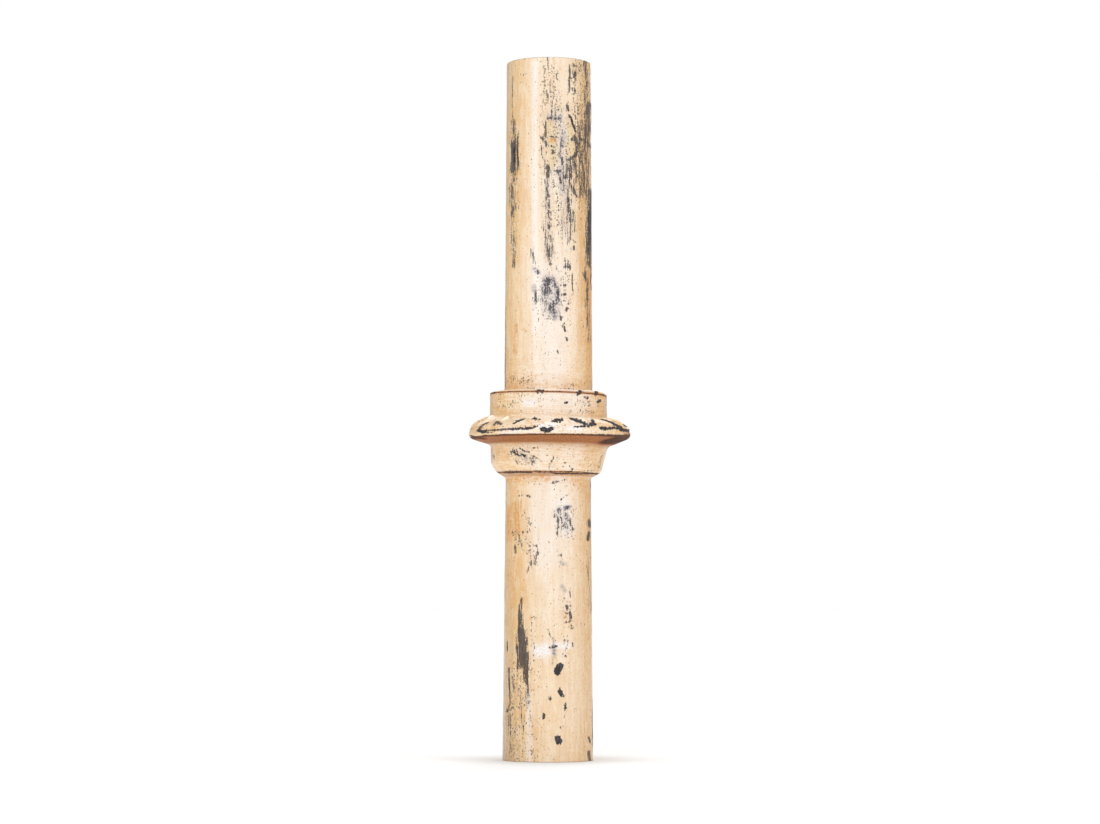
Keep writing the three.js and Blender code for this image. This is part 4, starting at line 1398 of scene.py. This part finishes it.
@dataclass(frozen=True)
class WornPaint:
    """The column's finish: thick cream paint, worn and chipped to dark iron, with painted shade, sheen and
    highlights in its colours.
    """

    cream: Colour = (0.87, 0.58, 0.27)
    light_cream: Colour = (0.90, 0.65, 0.36)
    fresh: Colour = (0.87, 0.67, 0.36)
    tan: Colour = (0.76, 0.41, 0.14)
    # pale faded paint in patches and brush lines, also the colour of the painted sheen on the front
    faded: Colour = (0.95, 0.865, 0.765)
    # chalky pale paint, also the colour of painted highlights and sheen
    chalk_and_highlight: Colour = (0.94, 0.92, 0.93)
    undercoat: Colour = (0.27, 0.245, 0.28)
    # orange-brown of stains, also the colour of painted shade in hollows, under the ring and on the sides
    stain: Colour = (0.70, 0.31, 0.06)
    # brown of dirt specks, also the colour that darkens both ends and paints shade on the sides
    soil: Colour = (0.42, 0.27, 0.15)
    # brown of grime, also the colour of the painted shade under the flange and the ring's lip
    grime: Colour = (0.34, 0.105, 0.022)
    # near-black painted shade, with grime, at the soffit's ends and along the collar's edge lines
    deep_grime_and_shade: Colour = (0.045, 0.014, 0.004)
    iron: Colour = (0.038, 0.033, 0.034)
    iron_light: Colour = (0.135, 0.122, 0.13)
    rust: Colour = (0.16, 0.065, 0.028)
    paint_depth: float = 0.3
    gloss: float = 0.6
    shine: float = 0.35

    def build(self) -> bpy.types.Material:
        """Make the material, which reads the layers of the column's mesh."""
        material = bpy.data.materials.new("worn_cream_paint")
        sheet = NodeSheet(material)
        layer = {each: sheet.attribute(each) for each in Layer}
        weather = Weather.on(sheet)
        upright = 1 - layer[Layer.BRUSHED]
        bare = self.bare(layer, weather)
        paint = self.paint(sheet, layer, weather, upright)
        iron = sheet.blend(weather.threads.step(0.3, 1.0) * 0.6, self.iron, self.iron_light)
        rusty = weather.clouds.step(0.7, 1.0) * 0.12 + layer[Layer.GRIME] * weather.flakes * 0.9
        iron = sheet.blend(rusty.clamped(), iron, self.rust)
        colour = sheet.blend(bare, paint, iron)
        relief = (weather.streaks - 0.5) * upright * 0.05 + (weather.grains - 0.5) * 0.04
        relief = relief + (weather.brushing - 0.5) * layer[Layer.BRUSHED] * 0.07
        height = (1 - bare) * self.paint_depth + relief
        bump = sheet.node("ShaderNodeBump", {}, {"Strength": 0.8, "Distance": METRES, "Height": height})
        roughness = 0.46 + (weather.streaks - 0.5) * 0.12 + layer[Layer.GRIME] * 0.25 + bare * 0.4
        coat = (1 - bare) * (1 - layer[Layer.GRIME]) * self.gloss
        shader = sheet.node(
            "ShaderNodeBsdfPrincipled",
            {},
            {
                "Base Color": colour,
                "Roughness": roughness.clamped(),
                "Metallic": bare * 0.1,
                "Specular IOR Level": self.shine,
                "Coat Weight": coat.clamped(),
                "Coat Roughness": 0.13,
                "Normal": bump.outputs["Normal"],
            },
        )
        sheet.node("ShaderNodeOutputMaterial", {}, {"Surface": shader.outputs["BSDF"]})
        return material

    @staticmethod
    def bare(layer: dict[Layer, Value], weather: Weather) -> Value:
        """Find where the paint is gone: in chips, in rubbed threads and in specks."""
        ragged = (weather.flakes - 0.5) * 1.2 + (weather.grains - 0.5) * 0.9
        chips = (layer[Layer.BARE] + ragged).step(-0.4, 0.5)
        fibres = weather.strands * 0.4 + weather.threads * 0.35 + weather.grains * 0.25
        rubbed = (fibres + layer[Layer.RUBBED] * 0.75 - 1).step(-0.12, 0.18)
        dotted = weather.dots + (weather.flakes - 0.5) * 0.2 + (weather.strands - 0.5) * 0.24
        specks = (dotted + layer[Layer.SPECKS] * 0.42 - 0.96).step(-0.05, 0.1)
        seen = 0.3 + weather.patches * 0.6
        return chips.either(rubbed * 0.92).either(specks * seen).clamped()

    def paint(
        self, sheet: NodeSheet, layer: dict[Layer, Value], weather: Weather, upright: Value
    ) -> bpy.types.NodeSocket:
        """Colour the paint that is left, by coats laid one over the other. Some of the coats are painted
        shade, painted sheen and painted highlights.

        A coat shows where a pattern rises from a low to a high value, by a share of its own,
        or by a layer of the mesh broken up by the patterns.

        Args:
            sheet: The material's sheet.
            layer: The mesh's layers.
            weather: The patterns all over the paint.
            upright: How far the brush went up and down there, and not round.

        Returns:
            The paint's colour.
        """
        patches, grains, flakes = weather.patches, weather.grains, weather.flakes
        streaks, hairs, brushed = weather.streaks, weather.hairs, layer[Layer.BRUSHED]
        fine_dots = weather.dots + brushed * 0.05
        fresh = layer[Layer.FRESH] + (flakes - 0.5) * 0.4
        coats = [
            ((1 - patches).step(0.55, 0.65) * 0.16, self.tan),
            # painted sheen on the front
            (layer[Layer.FADED] * (0.6 + weather.clouds * 0.25 + streaks * upright * 0.3), self.faded),
            (patches.step(0.6, 0.68) * 0.22, self.faded),
            ((patches * flakes).step(0.5, 0.56) * 0.3, self.fresh),
            (fresh.step(0.35, 0.6) * 0.8, self.fresh),
            (streaks.step(0.35, 1.0) * upright * 0.24, self.tan),
            (hairs.step(0.6, 1.0) * upright * 0.12, self.tan),
            ((1 - hairs).step(0.6, 1.0) * upright * 0.12, self.faded),
            (brushed * weather.brushing.step(0.45, 1.0) * 0.36, self.tan),
            (brushed * (1 - weather.brushing).step(0.5, 1.0) * 0.3, self.faded),
            (grains.step(0.5, 1.0) * 0.12, self.tan),
            (fine_dots.step(0.7, 0.86) * 0.4, self.tan),
            (fine_dots.step(0.9, 0.96) * 0.6, self.soil),
            # darker towards both ends, with painted shade on the sides
            (layer[Layer.SOILED] * (0.45 + streaks * 0.4 + flakes * 0.4), self.soil),
            # chalk, painted highlights and painted sheen
            (layer[Layer.PALE] * (0.3 + grains * 0.8), self.chalk_and_highlight),
            (layer[Layer.UNDERCOAT] * (0.15 + flakes * 0.35 + grains * 0.55), self.undercoat),
            # stains, and painted shade in hollows, under the ring and on the sides
            (layer[Layer.STAIN] * (0.1 + weather.strands * upright * 0.5 + flakes * 0.45), self.stain),
            # grime and painted shade under the flange, under the ring's lip and along the collar's edges
            (layer[Layer.GRIME] * (0.85 + grains * 0.3), self.grime),
            ((layer[Layer.GRIME] - 1 + (flakes - 0.5) * 0.2) * 2, self.deep_grime_and_shade),
        ]
        colour = sheet.blend(weather.clouds, self.cream, self.light_cream)
        for share, coat in coats:
            colour = sheet.blend(share.clamped(), colour, coat)
        return colour


@dataclass(frozen=True)
class Edge:
    """A line round the collar, where a stretch of the outline starts, and the grime, stain and painted shade
    laid along it.
    """

    stretch: str
    strength: float
    width: float

    def along(self, rows: Rows) -> Array:
        """Give the strength times a bell curve of the distance from the line."""
        return self.strength * np.exp(-((rows.past(self.stretch) / self.width) ** 2))


@dataclass(frozen=True)
class Knots:
    """A value that changes with height, in straight lines between knots."""

    heights: tuple[float, ...]
    values: tuple[float, ...]

    def at(self, heights: Array) -> Array:
        """Give the value at some heights."""
        return np.interp(heights, self.heights, self.values)


@dataclass(frozen=True)
class Column:
    """The column: one hollow casting with its paint."""

    finish: WornPaint = WornPaint()
    wear: PaintWear = PaintWear()
    leaves: Leaves = Leaves()
    unevenness: float = 0.22
    chip_depth: float = 0.3
    chip_slope: float = 1.5
    collar_middle: float = 430.0
    collar_reach: float = 60.0
    leaf_wear: float = -0.2
    leaf_wear_span: tuple[float, float] = (0.05, 0.85)
    # grime and painted shade under the flange and the ring, and grime alone in the bore
    grime_and_shade_limit: float = 1.5
    bore_grime: float = 0.9
    soffit_grime_and_shade: float = 0.95
    fillet_grime_and_shade: float = 7.5
    underside_grime_and_shade: float = 0.55
    rim_grime_and_shade: Edge = Edge("rim", 1.35, 1.3)
    corner_grime_and_shade: Edge = Edge("ring_corner", 1.1, 1.2)
    band_grime_and_shade: Edge = Edge("band_edge", 1.4, 1.1)
    # stain and painted shade along the collar's edges and hollows; just under the ring it is painted shadow
    stain_and_shade_edges: tuple[Edge, ...] = (
        Edge("underside", 0.55, 9.0),
        Edge("ring_corner", 0.5, 2.5),
        Edge("slope", 0.3, 2.5),
        Edge("band", 0.5, 3.5),
        Edge("band_edge", 0.6, 1.3),
        Edge("upper_shaft", 0.5, 10.0),
    )
    # painted shade on the sides, stronger on the right and less towards the upper end
    side_shade: float = 0.5
    side_shade_upward: Knots = Knots((0.0, 600.0, 760.0, 920.0), (1.0, 1.0, 0.5, 0.2))
    level_brushing: Knots = Knots((335.0, 365.0, 484.0, 500.0, 560.0), (0.0, 1.0, 1.0, 0.8, 0.0))
    # darker towards both ends, with painted shade on the sides
    darkening_upward: Knots = Knots((0.0, 60.0, 260.0, 420.0, 600.0, 800.0), (0.95, 0.8, 0.25, 0.02, 0.1, 0.42))
    darkening_right: Knots = Knots((0.0, 420.0, 700.0), (0.25, 0.8, 1.0))
    darkening_in_front: float = 0.05
    # painted sheen on the front, and half as much on the back
    sheen_width: float = math.radians(40.0)
    sheen_behind: float = 0.5
    sheen_angle: Knots = Knots((0.0, 250.0, 480.0, 920.0), (20.0, 10.0, 2.0, 6.0))
    sheen_upward: Knots = Knots(
        (0.0, 150.0, 330.0, 620.0, 760.0, 920.0), (0.45, 0.5, 0.95, 1.0, 0.7, 0.7)
    )

    def build(self, view: Viewpoint) -> bpy.types.Object:
        """Build the column's mesh, its layers and its finish, and put it in the solid's place.

        Args:
            view: The photograph's camera, which places the marks.

        Returns:
            The finished piece.
        """
        low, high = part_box(NODE)
        outline = Outline(height=(high[2] - low[2]) / METRES)
        grid = Grid(RowPlan().lay(outline))
        share = grid.rows.share("slope", "band") * grid.outside
        grid.raise_skin(self.leaves.raised(grid.azimuth, share) * (share > 0) * (share < 1))
        marks = self.wear.marks()
        layers = {layer: self.wear.paint(layer, marks[layer], grid, view) for layer in Layer}
        # worn lines, partly painted shadow along the rim and the ring's lip
        layers[Layer.BARE] = np.maximum(layers[Layer.BARE], self.worn_and_shadow_lines(grid))
        layers[Layer.BARE] = np.where(grid.outside > 0, layers[Layer.BARE], self.wear.reach)
        # grime and painted shade under the flange and the ring
        layers[Layer.GRIME] = np.clip(layers[Layer.GRIME] + self.sheltered_grime_and_shade(grid), 0.0, self.grime_and_shade_limit)
        # stains, with painted shade in the collar's hollows, under the ring and on the sides
        layers[Layer.STAIN] = layers[Layer.STAIN] + self.tinted_with_stain_and_shade(grid)
        # painted sheen on the front, and half as much on the back
        layers[Layer.FADED] = self.faded(grid) * np.clip(1 - layers[Layer.GRIME], 0.0, 1.0)
        # darker towards both ends, with painted shade on the sides
        layers[Layer.SOILED] = self.soiled(grid)
        layers[Layer.BRUSHED] = self.level_brushing.at(grid.heights)
        grid.raise_skin(self.unevenly(grid, layers[Layer.BARE]) * grid.outside)
        mesh = grid.mesh(NODE)
        for layer, values in layers.items():
            attribute = mesh.attributes.new(layer.value, "FLOAT", "POINT")
            attribute.data.foreach_set("value", values.astype(np.float32).ravel())
        mesh.materials.append(self.finish.build())
        piece = bpy.data.objects.new("painted_column", mesh)
        bpy.context.scene.collection.objects.link(piece)
        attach(piece, BODY)
        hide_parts(NODE)
        count = sum(len(each) for each in marks.values())
        LOG.info("column: %d faces on %d rows, %d marks", len(mesh.polygons), grid.rows.count, count)
        return piece

    def sheltered_grime_and_shade(self, grid: Grid) -> Array:
        """Find where the paint is darkened: under the flange, under the ring's lip and in the bore.

        Under the flange and the ring's lip the darkening is painted shade with grime, and in the
        bore it is grime. Under the flange it fades out down the ring by a bell curve of the distance
        from the soffit. It is darkest along the rim, the ring's lower corner and the band's edge, as
        painted shadow lines with grime in them.
        """
        rows = grid.rows
        below = np.minimum(rows.past("soffit"), 0.0)
        fading = np.exp(-((below / self.fillet_grime_and_shade) ** 2))
        under_flange = self.soffit_grime_and_shade * fading * (rows.past("rim") < 0)
        underside = rows.share("underside", "ring_corner")
        under_ring = self.underside_grime_and_shade * np.clip(underside * 4, 0, 1) * (underside < 1)
        outside = np.maximum(
            under_flange + self.rim_grime_and_shade.along(rows), under_ring + self.corner_grime_and_shade.along(rows)
        )
        return np.where(grid.outside > 0, outside + self.band_grime_and_shade.along(rows), self.bore_grime)

    def tinted_with_stain_and_shade(self, grid: Grid) -> Array:
        """Tint the paint with stain and painted shade in the collar's hollows and where the shaft leaves it.

        Just under the ring the tint is painted shadow. The sides get painted shade too, by the cube of
        the sine of the angle and less towards the upper end. The left one has a fifth of the right one's
        shade.
        """
        side = np.sin(grid.azimuth)
        tint = np.where(side > 0, self.side_shade, self.side_shade / 5)
        value = self.side_shade_upward.at(grid.heights) * tint * np.abs(side) ** 3
        for edge in self.stain_and_shade_edges:
            value = value + edge.along(grid.rows)
        return value * grid.outside

    def soiled(self, grid: Grid) -> Array:
        """Darken the paint towards both ends, and more on the sides than in front.

        A small part reaches the front, and the rest grows with the cube of the sine of the
        angle, as painted shade towards the sides. Low down on the right there is less.
        """
        side = np.sin(grid.azimuth)
        share = np.where(side > 0, self.darkening_right.at(grid.heights), 1.0) * np.abs(side) ** 3
        spread = self.darkening_in_front + (1 - self.darkening_in_front) * share
        return self.darkening_upward.at(grid.heights) * spread * grid.outside

    def faded(self, grid: Grid) -> Array:
        """Paint a pale sheen on the front, a painted highlight where the light falls most.

        The front is paled by a flat-topped bell curve of the angle from its palest line, which
        leans to the right at the foot. It is palest beside the collar and less towards both
        ends. The back is paled by half as much.
        """
        palest = np.radians(self.sheen_angle.at(grid.heights))
        turn = (grid.azimuth - palest + np.pi) % (2 * np.pi) - np.pi
        front = np.exp(-((turn / self.sheen_width) ** 4))
        back = self.sheen_behind * np.exp(-(((np.abs(turn) - np.pi) / self.sheen_width) ** 4))
        return (front + back) * self.sheen_upward.at(grid.heights)

    def worn_and_shadow_lines(self, grid: Grid) -> Array:
        """Wear the paint off along the collar's edges and the leaves, in broken lines.

        Each edge's value is half its width plus its share of the noise, less the distance
        from the edge. Along the rim and the ring's lower corner the dark line is partly worn paint
        and partly painted shadow.
        """
        points = grid.points()
        broken = Ripple(14.0, seed=5).at(points) * 0.6 + Ripple(4.0, seed=6).at(points) * 0.6
        edges = {"ring_corner": (0.6, 0.8), "rim": (0.9, 0.7), "band_edge": (0.1, 1.0), "slope": (-0.5, 1.0)}
        value = np.full(grid.shape, -self.wear.reach)
        for stretch, (half_width, unevenness) in edges.items():
            value = np.maximum(value, half_width + broken * unevenness - np.abs(grid.rows.past(stretch)))
        share = grid.rows.share("slope", "band")
        on_slope = (share > self.leaf_wear_span[0]) & (share < self.leaf_wear_span[1])
        leaf_lines = self.leaf_wear + broken - self.leaves.from_edge(grid.azimuth, share) * grid.radius
        return np.maximum(value, np.where(on_slope, leaf_lines, -self.wear.reach))

    def unevenly(self, grid: Grid, bare: Array) -> Array:
        """Give the skin its unevenness, finer on the collar, and sink it where the paint is gone."""
        points = grid.points()
        collar = np.exp(-(((grid.heights - self.collar_middle) / self.collar_reach) ** 4))
        swell = Ripple(34.0, seed=1).at(points) * 0.5 + Ripple(11.0, seed=2).at(points) * 0.6 * collar
        sunk = np.clip(bare / self.chip_slope + 0.5, 0.0, 1.0)
        return swell * self.unevenness - self.chip_depth * sunk


@dataclass(frozen=True)
class Studio:
    """Plain pale floor and soft studio light."""

    world_light: float = 0.43
    floor_shade: float = 0.98

    def build(self) -> None:
        """Build the floor, the surrounding light and the lamps."""
        self.floor()
        self.world()
        self.sun("key", azimuth=-10.0, elevation=34.0, spread=40.0, strength=0.42)
        self.sun("left", azimuth=-70.0, elevation=15.0, spread=50.0, strength=0.4)
        self.sun("right", azimuth=62.0, elevation=20.0, spread=50.0, strength=0.55)
        self.sun("top", azimuth=0.0, elevation=90.0, spread=20.0, strength=1.0)
        self.sun("back", azimuth=170.0, elevation=30.0, spread=50.0, strength=0.8)
        self.panel("band", azimuth=-30.0, reach=3.0, low=0.78, high=1.7, width=0.8, power=6.0)
        self.panel("window", azimuth=12.0, reach=5.0, low=0.0, high=2.4, width=2.2, power=16.0)
        bpy.context.scene.view_settings.view_transform = "Standard"
        LOG.info("studio: floor, surrounding light and seven lamps")

    def floor(self) -> None:
        """Lay the floor, wide enough to pass out of sight."""
        half = 60.0
        corners = [(-half, -half, 0.0), (half, -half, 0.0), (half, half, 0.0), (-half, half, 0.0)]
        mesh = bpy.data.meshes.new("floor")
        mesh.from_pydata(corners, [], [(0, 1, 2, 3)])
        material = bpy.data.materials.new("pale_floor")
        sheet = NodeSheet(material)
        shade = (self.floor_shade, self.floor_shade, self.floor_shade, 1.0)
        shader = sheet.node("ShaderNodeBsdfDiffuse", {}, {"Color": shade})
        sheet.node("ShaderNodeOutputMaterial", {}, {"Surface": shader.outputs[0]})
        mesh.materials.append(material)
        plane = bpy.data.objects.new("floor", mesh)
        bpy.context.scene.collection.objects.link(plane)

    def world(self) -> None:
        """Surround the scene with white that the camera sees at full strength."""
        world = bpy.data.worlds.new("white_surround")
        bpy.context.scene.world = world
        world.use_nodes = True
        tree = world.node_tree
        tree.nodes.clear()
        seen = tree.nodes.new("ShaderNodeLightPath")
        strength = tree.nodes.new("ShaderNodeMix")
        strength.inputs[2].default_value = self.world_light
        strength.inputs[3].default_value = 1.0
        background = tree.nodes.new("ShaderNodeBackground")
        background.inputs["Color"].default_value = (1.0, 1.0, 1.0, 1.0)
        output = tree.nodes.new("ShaderNodeOutputWorld")
        tree.links.new(seen.outputs["Is Camera Ray"], strength.inputs[0])
        tree.links.new(strength.outputs[0], background.inputs["Strength"])
        tree.links.new(background.outputs[0], output.inputs["Surface"])

    @staticmethod
    def sun(name: str, azimuth: float, elevation: float, spread: float, strength: float) -> None:
        """Light the scene from far away.

        Args:
            name: The lamp's name.
            azimuth: Degrees round from the front to where the light comes from.
            elevation: Degrees up to where it comes from.
            spread: Degrees across the light's source, for soft shadows.
            strength: Its strength in watts on a square metre.
        """
        data = bpy.data.lights.new(name, "SUN")
        data.energy = strength
        data.angle = math.radians(spread)
        lamp = bpy.data.objects.new(name, data)
        turn = math.radians(azimuth)
        tilt = math.radians(90.0 - elevation)
        lamp.rotation_euler = (Matrix.Rotation(turn, 3, "Z") @ Matrix.Rotation(tilt, 3, "X")).to_euler()
        bpy.context.scene.collection.objects.link(lamp)

    @staticmethod
    def panel(
        name: str, azimuth: float, reach: float, low: float, high: float, width: float, power: float
    ) -> None:
        """Stand an upright panel of light that faces the column.

        Args:
            name: The lamp's name.
            azimuth: Degrees round from the front to where it stands.
            reach: Its distance from the column's axis, in metres.
            low: Height of its lower edge, in metres.
            high: Height of its upper edge, in metres.
            width: Its width in metres.
            power: Its power in watts.
        """
        data = bpy.data.lights.new(name, "AREA")
        data.shape = "RECTANGLE"
        data.size = width
        data.size_y = high - low
        data.energy = power
        lamp = bpy.data.objects.new(name, data)
        turn = math.radians(azimuth)
        lamp.location = (reach * math.sin(turn), -reach * math.cos(turn), (low + high) / 2)
        upright = Matrix.Rotation(turn, 3, "Z") @ Matrix.Rotation(math.pi / 2, 3, "X")
        lamp.rotation_euler = upright.to_euler()
        bpy.context.scene.collection.objects.link(lamp)


def main() -> None:
    """Build the camera, the studio and the column."""
    logging.basicConfig(level=logging.INFO, format="%(name)s: %(message)s")
    view = Viewpoint()
    view.build()
    Studio().build()
    Column().build(view)


if __name__ == "__main__":
    main()
